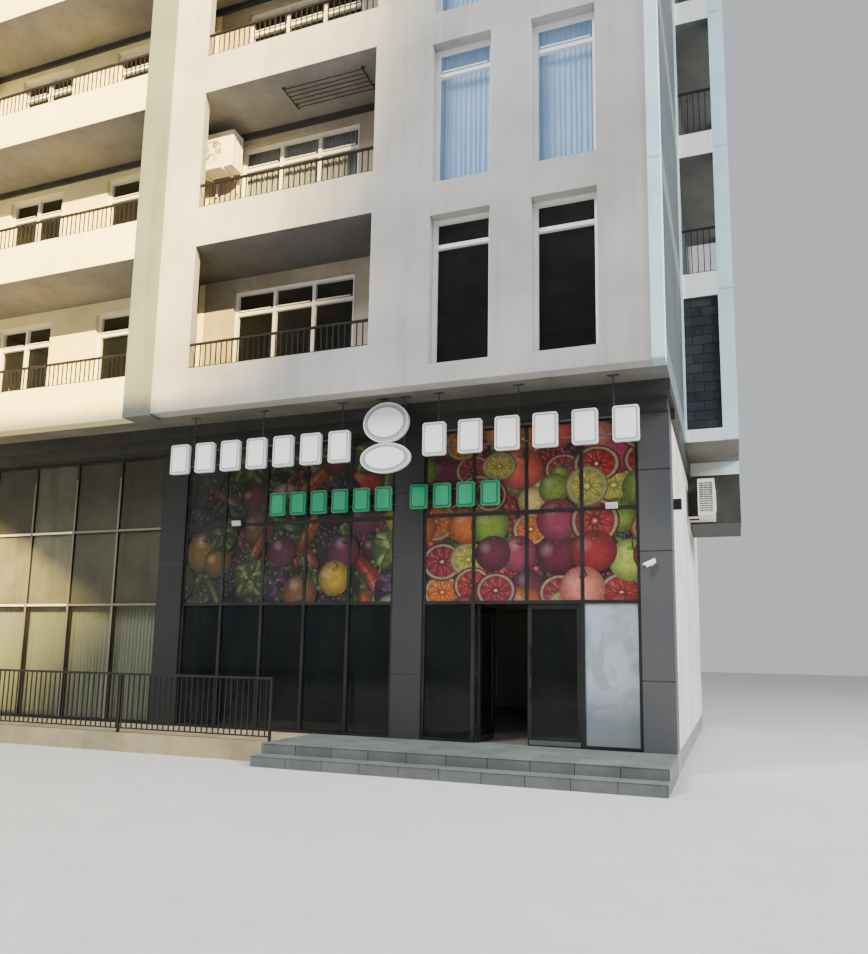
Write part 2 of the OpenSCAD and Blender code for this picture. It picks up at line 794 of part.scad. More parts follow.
module side_railings() {
    color("black")
        for (k = [1 : storeys - 1]) {
            z = [base_z(k) + side_band_z, base_z(k) + side_rail_z];
            railing_x([0, side_pier_x[0]], side_y[0] + rail_set, z);
            railing_x([0, side_pier_x[0]], side_y[1] - rail_set - rail_t, z);
            railing_y(side_bay_w - rail_set - rail_t, [side_pier_front_y[1], side_pier_rear_y[0]], z);
        }
}

// Blockwork that closes the lowest side balcony on its three outer sides
module side_infill_wall() {
    z = [base_z(0) + side_kerb_h, base_z(1) - side_band_drop];
    color("dimgray") {
        for (y = [side_y[0] + infill_set, side_y[1] - infill_set - infill_t])
            block([0, side_pier_x[0]], [y, y + infill_t], z);
        block([side_bay_w - infill_set - infill_t, side_bay_w - infill_set],
              [side_pier_front_y[1], side_pier_rear_y[0]], z);
    }
}

// Closed bay under the side balconies, with a beam along its top
module side_bay_lower() {
    inside_y = [lower_bay_y[0] + side_band_t, lower_bay_y[1] - side_band_t];
    color("dimgray")
        difference() {
            union() {
                block([0, side_bay_w], lower_bay_y, lower_bay_z);
                block([x_side_out, side_bay_w], lower_bay_y, [lower_bay_z[0], shop_top]);
            }
            block([x_side_out - 1, side_bay_w - side_band_t], inside_y, [lower_bay_z[0] + side_band_t, overhang_z + 1]);
            block([side_pier_x[0], side_bay_w + 1], [lower_bay_y[0] - 1, lower_bay_y[0] + side_pier_w],
                  [overhang_z - lower_beam_h, overhang_z + 1]);
        }
}

// An outdoor unit in its own frame: back at the wall side, fan towards -Y, foot at Z 0. The case has
// a round fan opening, two columns of slots in its right end, and two brackets that reach the wall.
bracket_t = 40;
bracket_h = 240;
bracket_at = [0.12, 0.7];
fan_d = 480;
fan_at = 0.4;
fan_deep = 40;
hub_d = 130;
slot_pitch = 46;
slot_h = 22;
slot_w = 110;
slot_deep = 20;
slot_at = [0.12, 0.56];
module outdoor_unit(wall_gap) {
    slots = floor(unit_h / slot_pitch) - 2;
    difference() {
        cube([unit_w, unit_d, unit_h]);
        translate([fan_at * unit_w, -1, unit_h / 2])
            rotate([-90, 0, 0])
                difference() {
                    cylinder(d = fan_d, h = fan_deep, $fn = 48);
                    translate([0, 0, -1]) cylinder(d = hub_d, h = fan_deep + 2, $fn = 48);
                }
        for (i = [1 : slots], share = slot_at)
            translate([unit_w - slot_deep, share * unit_d, slot_pitch * i])
                cube([slot_deep + 1, slot_w, slot_h]);
    }
    for (share = bracket_at)
        translate([share * unit_w, 0, -bracket_t]) {
            cube([bracket_t, unit_d + wall_gap, bracket_t]);
            translate([0, unit_d + wall_gap - bracket_t, -bracket_h])
                cube([bracket_t, bracket_t, bracket_h]);
        }
}
unit_clear = 20;
module air_conditioners() {
    color("ivory") {
        translate([x_divider[1] + unit_front_in - mid_x, y_shop - unit_front_gap - unit_d - mid_y,
                   base_z(1) + unit_front_z])
            outdoor_unit(unit_front_gap);
        translate([unit_side_x + unit_d - mid_x, lower_bay_y[0] - unit_clear - mid_y, overhang_z - unit_side_drop])
            rotate([0, 0, 90])
                mirror([1, 0, 0])
                    outdoor_unit(unit_side_x + side_inset);
    }
}

// Signs: two rows of plain tiles and two oval plates on rails that hang on rods from the overhang,
// and a row of plain coloured tiles on rails across the middle column.
row_left_x = [-oval_x - oval_clear - row_left_l, -oval_x - oval_clear];
row_right_x = [-oval_x + oval_clear, -oval_x + oval_clear + row_right_l];
row_left_tiles = 7;
row_right_tiles = 6;
row_left_rods = [0.12, 0.52, 0.95];
row_right_rods = [0.07, 0.46, 0.89];
oval_rods = [-110, 320];
oval_rail = [-300, 370];
oval_step = 7.5;
oval_gap = 10;
low_left_tiles = 6;
low_right_tiles = 4;
rail_share = 0.25;
tile_r = 45;
plate_t = 12;
plate_w = 180;
plate_d = 60;
sign_mid_z = floor_z + sign_z;
sign_back_y = sign_y - sign_rail_t / 2;
sign_rails = [-rail_share * sign_h, rail_share * sign_h];
oval_top_z = sign_mid_z + (oval_top_h + oval_gap) / 2;
oval_low_z = sign_mid_z - (oval_low_h + oval_gap) / 2;
low_mid_z = floor_z + low_sign_z;
low_left_l = (low_left_tiles - 1) * low_sign_pitch + low_sign_w;
low_right_l = (low_right_tiles - 1) * low_sign_pitch + low_sign_w;
low_left_x = -oval_x - low_row_in;
low_right_x = low_left_x + low_left_l + low_sign_gap;

// A sign tile's outline, a rectangle with round corners
module tile_outline(w, h) {
    square([w, h - 2 * tile_r], center = true);
    square([w - 2 * tile_r, h], center = true);
    for (across = [-1, 1], up = [-1, 1])
        translate([across * (w / 2 - tile_r), up * (h / 2 - tile_r)])
            circle(r = tile_r, $fn = 24);
}
module oval_outline(w, h) {
    polygon([for (a = [0 : oval_step : 360 - oval_step]) [w / 2 * cos(a), h / 2 * sin(a)]]);
}

// Stands a flat outline up, its back at y and its middle at x and z
module stand_up(x, y, z, t) {
    translate([x - mid_x, y - mid_y, z])
        rotate([90, 0, 0])
            linear_extrude(t)
                children();
}
module hanger(x, foot_z) {
    block([x - plate_w / 2, x + plate_w / 2], [sign_y - plate_d / 2, sign_y + plate_d / 2],
          [overhang_z - plate_t, overhang_z]);
    rod(x, sign_y, foot_z, rod_d, overhang_z - plate_t - foot_z);
}
module sign_rail(x, y, z) {
    block(x, [y - sign_rail_t / 2, y + sign_rail_t / 2], [z - sign_rail_t / 2, z + sign_rail_t / 2]);
}
module row_hangers(x, rods) {
    for (share = rods)
        hanger(x[0] + share * (x[1] - x[0]), sign_mid_z + sign_rails[0]);
    for (z = sign_rails)
        sign_rail(x, sign_y, sign_mid_z + z);
}
module sign_hangers() {
    color("dimgray") {
        row_hangers(row_left_x, row_left_rods);
        row_hangers(row_right_x, row_right_rods);
        for (x = oval_rods)
            hanger(-oval_x + x, oval_low_z);
        for (z = [oval_top_z, oval_low_z])
            sign_rail([-oval_x + oval_rail[0], -oval_x + oval_rail[1]], sign_y, z);
        for (side = [-1, 1])
            sign_rail([low_left_x, low_right_x + low_right_l], y_shop - sign_rail_t / 2,
                      low_mid_z + side * rail_share * low_sign_h);
    }
}
module tile_row(x, tiles) {
    pitch = (x[1] - x[0] - sign_w) / (tiles - 1);
    for (i = [0 : tiles - 1])
        stand_up(x[0] + sign_w / 2 + i * pitch, sign_back_y, sign_mid_z, sign_t) tile_outline(sign_w, sign_h);
}
module low_tiles(x, tiles) {
    for (i = [0 : tiles - 1])
        stand_up(x + low_sign_w / 2 + i * low_sign_pitch, y_shop - sign_rail_t, low_mid_z, low_sign_t)
            tile_outline(low_sign_w, low_sign_h);
}
module sign_boards() {
    color("white") {
        tile_row(row_left_x, row_left_tiles);
        tile_row(row_right_x, row_right_tiles);
        stand_up(-oval_x, sign_back_y, oval_top_z, sign_t) oval_outline(oval_top_w, oval_top_h);
        stand_up(-oval_x, sign_back_y, oval_low_z, sign_t) oval_outline(oval_low_w, oval_low_h);
    }
    color("green") {
        low_tiles(low_left_x, low_left_tiles);
        low_tiles(low_right_x, low_right_tiles);
    }
}

floor_slab();
terrace();
entrance_steps();
terrace_railing();
shop_columns();
shopfront_frame_left();
shopfront_frame_right();
wing_shopfront_frame();
shopfront_glass_left();
shopfront_glass_right();
wing_shopfront_glass();
door_left_leaf();
door_left_glass();
door_right_leaf();
door_right_glass();
shop_ceiling();
soffit_slab();
edge_beam_outer();
edge_beam_inner();
side_beam();
ground_side_wall();
ground_rear_wall();
party_wall();
front_wall_1();
front_wall_2();
front_wall_3();
front_wall_4();
pilaster_left();
corner_strip();
loggia_walls();
wing_parapets();
wing_back_walls();
upper_floor_slabs();
roof_slab();
roof_parapet();
side_wall_upper();
rear_wall_upper();
front_window_frames();
front_window_glass();
rear_window_frames();
rear_window_glass();
side_door_frames();
side_door_glass();
loggia_railings();
wing_railings();
side_railings();
side_balconies();
side_piers();
side_infill_wall();
side_bay_lower();
air_conditioners();
sign_hangers();
sign_boards();
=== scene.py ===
"""Looks of an apartment building over a double-height supermarket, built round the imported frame.

Metres throughout, in the frame's own axes: +X runs along the street front to the entrance end,
+Y goes back into the building, +Z is up.
"""

from __future__ import annotations

import json
import logging
import math
import random
from dataclasses import dataclass
from enum import Enum
from typing import Any, Iterable, Sequence

import bmesh
import bpy
from mathutils import Matrix, Vector

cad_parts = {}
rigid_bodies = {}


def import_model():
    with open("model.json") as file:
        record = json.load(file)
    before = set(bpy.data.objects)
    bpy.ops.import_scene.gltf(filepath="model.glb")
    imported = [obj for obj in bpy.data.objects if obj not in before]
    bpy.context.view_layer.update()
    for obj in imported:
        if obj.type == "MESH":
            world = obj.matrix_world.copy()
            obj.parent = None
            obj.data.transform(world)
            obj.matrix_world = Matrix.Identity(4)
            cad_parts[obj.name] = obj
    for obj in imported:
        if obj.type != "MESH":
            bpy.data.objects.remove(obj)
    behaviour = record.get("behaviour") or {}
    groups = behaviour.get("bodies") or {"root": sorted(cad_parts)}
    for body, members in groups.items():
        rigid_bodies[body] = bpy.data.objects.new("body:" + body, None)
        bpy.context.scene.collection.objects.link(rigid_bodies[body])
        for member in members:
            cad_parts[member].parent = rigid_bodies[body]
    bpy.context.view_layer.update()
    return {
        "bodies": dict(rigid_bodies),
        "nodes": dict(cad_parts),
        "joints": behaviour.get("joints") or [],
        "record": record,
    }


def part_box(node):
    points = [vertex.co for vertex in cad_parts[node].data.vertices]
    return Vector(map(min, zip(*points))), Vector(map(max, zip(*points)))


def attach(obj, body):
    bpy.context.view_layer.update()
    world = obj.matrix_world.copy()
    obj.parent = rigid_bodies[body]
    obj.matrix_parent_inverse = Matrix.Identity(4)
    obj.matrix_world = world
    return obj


log = logging.getLogger("scene")
Span = tuple[float, float]
Place = tuple[float, float, float]
Box = tuple[Vector, Vector]
Node = bpy.types.Node
Tree = bpy.types.NodeTree
Socket = bpy.types.NodeSocket
Mesh = bmesh.types.BMesh
Vert = bmesh.types.BMVert
MM = 0.001


def linear(code: str) -> tuple[float, float, float, float]:
    """Turns an sRGB hex colour into the linear values that a socket takes.

    Args:
        code: The colour, such as "#b4b0aa".

    Returns:
        Red, green, blue and alpha.
    """
    parts = [int(code[i : i + 2], 16) / 255 for i in (1, 3, 5)]
    red, green, blue = (p / 12.92 if p <= 0.04045 else ((p + 0.055) / 1.055) ** 2.4 for p in parts)
    return red, green, blue, 1.0


def fill(tree: Tree, node: Node, *values: Any, **named: Any) -> None:
    """Fills a node's sockets: a node or socket is linked, None leaves the default.

    Args:
        tree: The material's node tree.
        node: The node.
        values: One entry a socket, in order.
        named: Sockets by their own names, with underscores for spaces.
    """
    entries = [(node.inputs[name.replace("_", " ")], value) for name, value in named.items()]
    for socket, value in [*zip(node.inputs, values), *entries]:
        if isinstance(value, Node):
            value = value.outputs[0]
        if isinstance(value, Socket):
            tree.links.new(value, socket)
        elif value is not None:
            socket.default_value = linear(value) if isinstance(value, str) else value


def add_node(tree: Tree, kind: str, *values: Any, **settings: Any) -> Node:
    """Adds a shader node with its settings and links.

    Args:
        tree: The material's node tree.
        kind: The node's type without its ShaderNode prefix.
        values: Its first sockets, as fill takes them.
        settings: Properties in lower case, or sockets by their own capitalised name.

    Returns:
        The new node.
    """
    node = tree.nodes.new("ShaderNode" + kind)
    for key, value in settings.items():
        if key[0].islower():
            setattr(node, key, value)
    fill(tree, node, *values, **{k: v for k, v in settings.items() if k[0].isupper()})
    return node


@dataclass(frozen=True)
class Finish:
    """A surface: what it is made of, and how it takes the light.

    Args:
        name: What the surface is, in a maker's words.
        slot: The record's slot of this finish; not used.
        colour: Main colour, sRGB hex.
        roughness: Roughness of the bare surface.
        ior: Index of refraction.
        metallic: 1 on bare metal.
        tinted: Whether each tile, block or sheet brings its own tone in the mesh.
    """

    name: str
    slot: str
    colour: str
    roughness: float = 0.6
    ior: float = 1.5
    metallic: float = 0.0
    tinted: bool = False

    def material(self) -> bpy.types.Material:
        """Makes the material once, and hands out the same one after that.

        Returns:
            The material.
        """
        made = bpy.data.materials.get(self.name)
        if made:
            return made
        made = bpy.data.materials.new(self.name)
        made.use_nodes = True
        tree = made.node_tree
        shader = tree.nodes["Principled BSDF"]
        fill(tree, shader, Roughness=self.roughness, IOR=self.ior, Metallic=self.metallic)
        self.dress(tree, shader, add_node(tree, "TexCoord").outputs["Object"])
        return made

    def dress(self, tree: Tree, shader: Node, place: Socket) -> None:
        """Adds the surface's own nodes.

        Args:
            tree: The material's node tree.
            shader: Its principled shader.
            place: Object coordinates, in metres.
        """
        fill(tree, shader, Base_Color=self.colour)

    def tinge(self, tree: Tree, tone: Node) -> Node:
        """Multiplies a colour by the tone in the mesh, where the finish is tinted.

        Args:
            tree: The material's node tree.
            tone: The node that gives the colour.

        Returns:
            The node that gives the new colour.
        """
        if not self.tinted:
            return tone
        tint = add_node(tree, "Attribute", attribute_name="tint")
        return add_node(tree, "MixRGB", 1.0, tone, tint, blend_type="MULTIPLY")


@dataclass(frozen=True)
class Mineral(Finish):
    """Painted render, plaster, concrete or stone: patchy in tone, streaked by rain, finely grained.

    Args:
        shade: Second tone of its patches.
        patch: Size of a patch in metres.
        streak: Strength of the upright rain streaks.
        grain: Size of the trowel's grain in metres. Real grain is 1 to 2 mm, too fine to show here,
            so it is drawn about ten times as coarse.
        relief: Height of the grain in metres.
    """

    shade: str = "#808080"
    patch: float = 1.4
    streak: float = 0.25
    grain: float = 0.02
    relief: float = 0.0015

    def tone(self, tree: Tree, place: Socket) -> Node:
        """Builds the colour before it is weathered.

        Args:
            tree: The material's node tree.
            place: Object coordinates.

        Returns:
            The node whose first output is the colour.
        """
        cloud = add_node(tree, "TexNoise", place, Scale=1 / self.patch, Detail=5.0, Roughness=0.6)
        weight = add_node(tree, "MapRange", cloud, 0.36, 0.66, 0.0, 1.0)
        return self.tinge(tree, add_node(tree, "MixRGB", weight, self.colour, self.shade))

    def dress(self, tree: Tree, shader: Node, place: Socket) -> None:
        """Adds patches, rain streaks and grain, as Finish.dress says."""
        tone = self.tone(tree, place)
        drawn = add_node(tree, "Mapping", place, Scale=(3.2, 3.2, 0.16))
        rain = add_node(tree, "TexNoise", drawn, Scale=1.0, Detail=4.0, Roughness=0.65)
        wet = add_node(tree, "MapRange", rain, 0.5, 0.75, 0.0, self.streak)
        streaked = add_node(tree, "MixRGB", wet, tone, self.shade, blend_type="MULTIPLY")
        speck = add_node(tree, "TexNoise", place, Scale=1 / self.grain, Detail=2.0)
        dusty = add_node(tree, "MapRange", speck, 0.3, 0.7, 0.93, 1.05)
        toned = add_node(tree, "MixRGB", 1.0, streaked, dusty, blend_type="MULTIPLY")
        bump = add_node(tree, "Bump", Strength=0.5, Distance=self.relief, Height=speck)
        rough = add_node(tree, "MapRange", speck, 0.3, 0.7, self.roughness - 0.06, self.roughness + 0.06)
        fill(tree, shader, Base_Color=toned, Roughness=rough, Normal=bump)


@dataclass(frozen=True)
class Striped(Mineral):
    """Render with a stripe at each storey: a dark sunk joint, or the side wall's paler band.

    Args:
        stripe: Colour of the stripes.
        cover: Share of the plain paint that a stripe hides.
        foot: Height of a stripe's foot.
        storey: Distance from stripe to stripe.
        tall: Height of a stripe. The real groove is about 15 mm and is drawn 30 mm.
    """

    stripe: str = "#5f6a6c"
    cover: float = 0.45
    foot: float = 6.14
    storey: float = 3.2
    tall: float = 0.03

    def tone(self, tree: Tree, place: Socket) -> Node:
        """Builds the patched colour and lays the stripes over it, as Mineral.tone says."""
        plain = super().tone(tree, place)
        level = add_node(tree, "SeparateXYZ", place).outputs["Z"]
        above = add_node(tree, "Math", level, self.foot, operation="SUBTRACT")
        turn = add_node(tree, "Math", above, self.storey, 0.0, operation="WRAP")
        inside = add_node(tree, "Math", turn, self.tall, operation="LESS_THAN")
        share = add_node(tree, "Math", inside, self.cover, operation="MULTIPLY")
        return add_node(tree, "MixRGB", share, plain, self.stripe)


@dataclass(frozen=True)
class Coated(Finish):
    """Powder coat, enamel or a coated composite sheet: even, with a film of street dust.

    Args:
        dust: Colour of the dust.
        dusty: Most that the dust covers.
        peel: Height of the coat's orange peel in metres.
    """

    dust: str = "#8c8a84"
    dusty: float = 0.3
    peel: float = 0.0006

    def dress(self, tree: Tree, shader: Node, place: Socket) -> None:
        """Adds dust in clouds and a faint orange peel, as Finish.dress says."""
        cloud = add_node(tree, "TexNoise", place, Scale=1.1, Detail=6.0, Roughness=0.65)
        cover = add_node(tree, "MapRange", cloud, 0.4, 0.78, 0.0, self.dusty)
        tone = self.tinge(tree, add_node(tree, "MixRGB", cover, self.colour, self.dust))
        rough = add_node(tree, "MapRange", cover, 0.0, 1.0, self.roughness, 0.85)
        # Real orange peel is about 2 mm across. It is drawn 30 mm wide so that it shows.
        peel = add_node(tree, "TexNoise", place, Scale=33.0, Detail=1.0)
        bump = add_node(tree, "Bump", Strength=0.25, Distance=self.peel, Height=peel)
        fill(tree, shader, Base_Color=tone, Roughness=rough, Normal=bump)


@dataclass(frozen=True)
class TwoTone(Coated):
    """A dusty coat with one colour below a level and another above it.

    Args:
        low: Colour of the lower part.
        split: The level.
    """

    low: str = "#1fa070"
    split: float = 4.79

    def dress(self, tree: Tree, shader: Node, place: Socket) -> None:
        """Picks the colour by the height and adds dust, as Finish.dress says."""
        level = add_node(tree, "SeparateXYZ", place).outputs["Z"]
        under = add_node(tree, "Math", level, self.split, operation="LESS_THAN")
        plain = add_node(tree, "MixRGB", under, self.colour, self.low)
        cloud = add_node(tree, "TexNoise", place, Scale=2.5, Detail=5.0)
        cover = add_node(tree, "MapRange", cloud, 0.4, 0.8, 0.0, self.dusty)
        tone = add_node(tree, "MixRGB", cover, plain, self.dust)
        rough = add_node(tree, "MapRange", cover, 0.0, 1.0, self.roughness, 0.7)
        fill(tree, shader, Base_Color=tone, Roughness=rough)


@dataclass(frozen=True)
class Glazing(Finish):
    """Window glass: mostly clear, with smears that catch the light.

    Args:
        alpha: How much of the view the pane hides.
        smear: Colour of dried rain and dust on it.
        smeared: Most that the smears cover.
        specular: Strength of its mirror image.
    """

    alpha: float = 0.4
    smear: str = "#7d8486"
    smeared: float = 0.15
    specular: float = 0.8

    def dress(self, tree: Tree, shader: Node, place: Socket) -> None:
        """Adds smears and the pane's clearness, as Finish.dress says."""
        drawn = add_node(tree, "Mapping", place, Scale=(2.0, 2.0, 0.7))
        cloud = add_node(tree, "TexNoise", drawn, Scale=1.0, Detail=7.0, Roughness=0.7)
        cover = add_node(tree, "MapRange", cloud, 0.42, 0.8, 0.0, self.smeared)
        tone = add_node(tree, "MixRGB", cover, self.colour, self.smear)
        rough = add_node(tree, "MapRange", cover, 0.0, 1.0, self.roughness, self.roughness + 0.1)
        fill(tree, shader, Base_Color=tone, Roughness=rough, Alpha=self.alpha)
        fill(tree, shader, Specular_IOR_Level=self.specular)


@dataclass(frozen=True)
class Glow(Finish):
    """A lamp's opal lens, lit from behind.

    Args:
        power: Strength of its light.
    """

    power: float = 6.0

    def dress(self, tree: Tree, shader: Node, place: Socket) -> None:
        """Makes the lens shine, as Finish.dress says."""
        super().dress(tree, shader, place)
        fill(tree, shader, Emission_Color=self.colour, Emission_Strength=self.power)


@dataclass(frozen=True)
class Woven(Finish):
    """Curtain cloth: a plain weave that may let some light through.

    Args:
        shade: Second tone, mixed in by soft clouds.
        thread: Spacing of the threads in metres. Real threads about 0.5 mm apart can't show, so
            they are drawn at 12 mm.
        through: Strength of the cloth's glow: painted light, an emission that stands in for the room's
            daylight coming through the weave.
    """

    shade: str = "#7f9aac"
    thread: float = 0.012
    through: float = 0.0

    def dress(self, tree: Tree, shader: Node, place: Socket) -> None:
        """Adds warp and weft and a soft change of tone, as Finish.dress says."""
        cloud = add_node(tree, "TexNoise", place, Scale=1.3, Detail=3.0)
        tone = add_node(tree, "MixRGB", cloud, self.colour, self.shade)
        warp = add_node(tree, "TexWave", place, Scale=0.5 / self.thread, bands_direction="X")
        weft = add_node(tree, "TexWave", place, Scale=0.5 / self.thread, bands_direction="Z")
        both = add_node(tree, "Math", warp, weft, operation="MULTIPLY")
        bump = add_node(tree, "Bump", Strength=0.3, Distance=MM, Height=both)
        # The emission is painted light: the cloth glows by the share set in through.
        fill(tree, shader, Base_Color=tone, Normal=bump, Emission_Color=tone)
        fill(tree, shader, Emission_Strength=self.through, Sheen_Weight=0.3)


@dataclass(frozen=True)
class Printed(Finish):
    """Printed vinyl film: the colour comes from the mesh, shaded over each shape.

    Args:
        rim: How dark a shape turns towards its edge.
        dust: How much the street's dust greys the print.
    """

    rim: float = 0.7
    dust: float = 0.04

    def dress(self, tree: Tree, shader: Node, place: Socket) -> None:
        """Reads the tint and the place on the shape from the mesh, as Finish.dress says."""
        tint = add_node(tree, "Attribute", attribute_name="tint")
        disc = add_node(tree, "UVMap", uv_map="disc")
        reach = add_node(tree, "VectorMath", disc, operation="LENGTH").outputs["Value"]
        edge = add_node(tree, "MapRange", reach, 0.35, 1.0, 1.0, 1.0 - self.rim)
        shaded = add_node(tree, "MixRGB", 1.0, tint, edge, blend_type="MULTIPLY")
        lit = add_node(tree, "VectorMath", disc, (0.35, -0.4, 0.0), operation="ADD")
        spot = add_node(tree, "VectorMath", lit, operation="LENGTH").outputs["Value"]
        shine = add_node(tree, "MapRange", spot, 0.05, 0.4, 0.12, 0.0)
        bright = add_node(tree, "MixRGB", shine, shaded, "#d9cfc0")
        skin = add_node(tree, "TexNoise", place, Scale=14.0, Detail=6.0, Roughness=0.75)
        grain = add_node(tree, "MapRange", skin, 0.3, 0.7, 0.55, 1.25)
        bright = add_node(tree, "MixRGB", 1.0, bright, grain, blend_type="MULTIPLY")
        cloud = add_node(tree, "TexNoise", place, Scale=1.5, Detail=5.0)
        film = add_node(tree, "MapRange", cloud, 0.35, 0.75, 0.0, self.dust * 2)
        fill(tree, shader, Base_Color=add_node(tree, "MixRGB", film, bright, "#6f706a"))


@dataclass(frozen=True)
class Marbled(Finish):
    """Printed film in soft sky and rock tones.

    Args:
        vein: Colour of the veins.
        low: Colour of the lower part.
        split: Height where the lower part starts to show.
    """

    vein: str = "#8b9298"
    low: str = "#7f858a"
    split: float = 1.1

    def dress(self, tree: Tree, shader: Node, place: Socket) -> None:
        """Draws bent veins that get denser downwards, as Finish.dress says."""
        cloud = add_node(tree, "TexNoise", place, Scale=1.6, Detail=6.0, Distortion=1.4)
        vein = add_node(tree, "MapRange", cloud, 0.5, 0.62, 0.0, 0.55)
        plain = add_node(tree, "MixRGB", vein, self.colour, self.vein)
        level = add_node(tree, "SeparateXYZ", place).outputs["Z"]
        wander = add_node(tree, "Math", cloud, 0.9, level, operation="MULTIPLY_ADD")
        deep = add_node(tree, "MapRange", wander, self.split + 0.7, self.split + 0.1, 0.0, 0.9)
        fill(tree, shader, Base_Color=add_node(tree, "MixRGB", deep, plain, self.low))


# Cement render under rolled masonry paint: matt and patchy, with upright rain streaks.
MAIN_RENDER = Mineral("rolled_masonry_paint_grey", "wall_grey", "#b0afad", 0.85, shade="#9c9a98", patch=1.8)
LOGGIA_RENDER = Mineral(
    "rolled_masonry_paint_loggia", "wall_grey", "#aba391", 0.85, shade="#938a7a", patch=1.1
)
WING_RENDER = Mineral("rolled_masonry_paint_cream", "wall_cream", "#f0e7b4", 0.85, shade="#dfd59e", patch=1.6)
REAR_RENDER = Mineral("rolled_masonry_paint_rear", "wall_grey", "#a9a6a0", 0.88, shade="#9a968f", patch=2.2)
# The same paint with a paler band at each storey, faint on the wall and plain on the balconies.
BAND: dict[str, float] = {"cover": 1.0, "foot": 6.045, "tall": 0.525}
SIDE_RENDER = Striped(
    "rolled_masonry_paint_side", "wall_grey", "#6f716b", 0.85, shade="#5f615b", stripe="#e6e8e3", **BAND
)
FLANK_RENDER = Striped(
    "rolled_masonry_paint_flank", "wall_grey", "#505554", 0.85, shade="#464b4a", stripe="#676c6b", **BAND
)
# More of that paint, on the fin, on the pale strips with their sunk joints and in the yard.
PILASTER_PAINT = Mineral("rolled_masonry_paint_fin", "pale_blue", "#6d746e", 0.82, shade="#606661", patch=1.2)
STRIP_PAINT = Striped("rolled_masonry_paint_blue", "pale_blue", "#d0ebf3", 0.8, shade="#bad8e0", patch=1.0)
YARD_PAINT = Mineral("rolled_masonry_paint_white", "white_wall", "#d8d4cc", 0.85, shade="#bfbab0", patch=1.5)
# Cast concrete under a thin coat of paint: the darkest mineral, partly the paint's own grey and partly
# painted shade, since it is seen from below.
# The bay's soffit coat is painted shade on the underside of the lowest side balcony.
BAY_SOFFIT_SHADE = Mineral("distempered_concrete_bay_shade", "wall_grey", "#74716a", 0.9, shade="#625f58", patch=0.9)
SOFFIT_PAINT = Mineral("distempered_concrete_soffit", "concrete", "#716e67", 0.9, shade="#5d5b55", patch=0.9)
SLAB_PAINT = Mineral(
    "distempered_concrete_slab", "concrete", "#8a8a8f", 0.9, shade="#76767a", patch=0.9, tinted=True
)
BEAM_PAINT = Mineral("alkyd_painted_concrete", "beam_paint", "#363835", 0.6, shade="#282a28", patch=0.8)
# Cement plaster, painted board and mortar: dull, with little pattern.
PLINTH_PLASTER = Mineral(
    "sponged_cement_plaster", "terrace_plaster", "#b3a684", 0.9, shade="#978b6c", patch=0.7
)
CEILING_BOARD = Mineral(
    "painted_mineral_board", "ceiling_board", "#d9d9d4", 0.8, shade="#c6c6c0", patch=0.6
)
MORTAR = Mineral("lime_cement_mortar", "blockwork", "#2b2c2d", 0.95, shade="#222324", patch=0.5)
# Sealed screed, a smooth pale skin over the cement: dull with a faint shine.
FLOOR_SEAL = Mineral("sealed_cement_screed", "concrete", "#8b8a84", 0.45, shade="#75746e", patch=0.8)
STUDIO_FLOOR = Mineral("studio_floor", "concrete", "#d0ceca", 0.9, shade="#cbc9c5")
# Honed granite tiles in a mortar bed: grey, with a soft shine.
GRANITE_BED = Mineral("tile_mortar", "step_granite", "#5b5c5a", 0.9, shade="#494a48", patch=0.4)
GRANITE = Mineral(
    "honed_granite_tile", "step_granite", "#868d8b", 0.5, shade="#747b79", patch=0.5, streak=0.1, tinted=True
)
# Concrete block, machine pressed: coarse and dusty, each block of its own tone.
BLOCK_FACE = Mineral(
    "pressed_concrete_block", "blockwork", "#33363a", 0.95, shade="#26292c", patch=0.4, grain=0.03,
    relief=0.004, tinted=True
)
# Matt film stuck to the back of the wing's upper panes: cream, a little uneven where it was wetted.
# Its tone per pane is painted light and shade, bright in the sun on the left and dark in the shade.
BACKING_FILM = Mineral(
    "matt_vinyl_film_cream", "shop_glass", "#8b8b74", 0.7, shade="#75745d", patch=0.6, streak=0.4, tinted=True
)
# Aluminium composite sheet, coil coated: flat and even, a little glossy, with clouds of dust.
PANEL_COAT = Coated(
    "coil_coated_composite", "grey_panel", "#5b5d61", 0.42, dust="#77746e", dusty=0.3, tinted=True
)
# The column core is near black: painted shade in the open joints between the sheets.
COLUMN_JOINT_SHADE = Coated("column_core_joint_shade", "grey_panel", "#232425", 0.6)
# The lower bay's sheets are dark brown, with a pale band of painted render above them.
BAY_COAT = TwoTone(
    "coil_coated_composite_brown", "grey_panel", "#cecfcc", 0.5, dust="#6d6960", dusty=0.15, low="#302e2a",
    split=5.84
)
# Powder coat, alkyd paint and enamel on metal: a smooth skin whose shine the street's dust dulls.
FRAME_COAT = Coated("powder_coated_aluminium_black", "black_frame", "#0f1112", 0.4, dusty=0.08)
RAIL_PAINT = Coated("alkyd_painted_steel_black", "railing_black", "#161316", 0.45, dust="#4a423c", dusty=0.2)
CASE_ENAMEL = Coated("stove_enamelled_sheet", "unit_case", "#e2dfd5", 0.4, dust="#a8a294", dusty=0.4)
HANGER_PAINT = Coated("primed_steel_angle", "hanger_steel", "#2a2b2c", 0.5, dusty=0.3)
CURTAIN_RAIL = Coated("lacquered_steel_tube", "white_frame", "#d9d6cf", 0.3, dusty=0.05)
# The cream caps go only on the sunlit columns: painted light.
CREAM_CAP = Coated(
    "powder_coated_aluminium_cream", "black_frame", "#e0d8bc", 0.4, dust="#9a9278", dusty=0.2
)
# Bare metal: steel brushed to a soft sheen, aluminium anodised to a dull bronze.
BRUSHED_STEEL = Coated("brushed_stainless_steel", "black_frame", "#8f9294", 0.32, metallic=1.0, dusty=0.15)
BRONZE_CAP = Coated("anodised_aluminium_bronze", "black_frame", "#6f685a", 0.4, metallic=0.2, dusty=0.3)
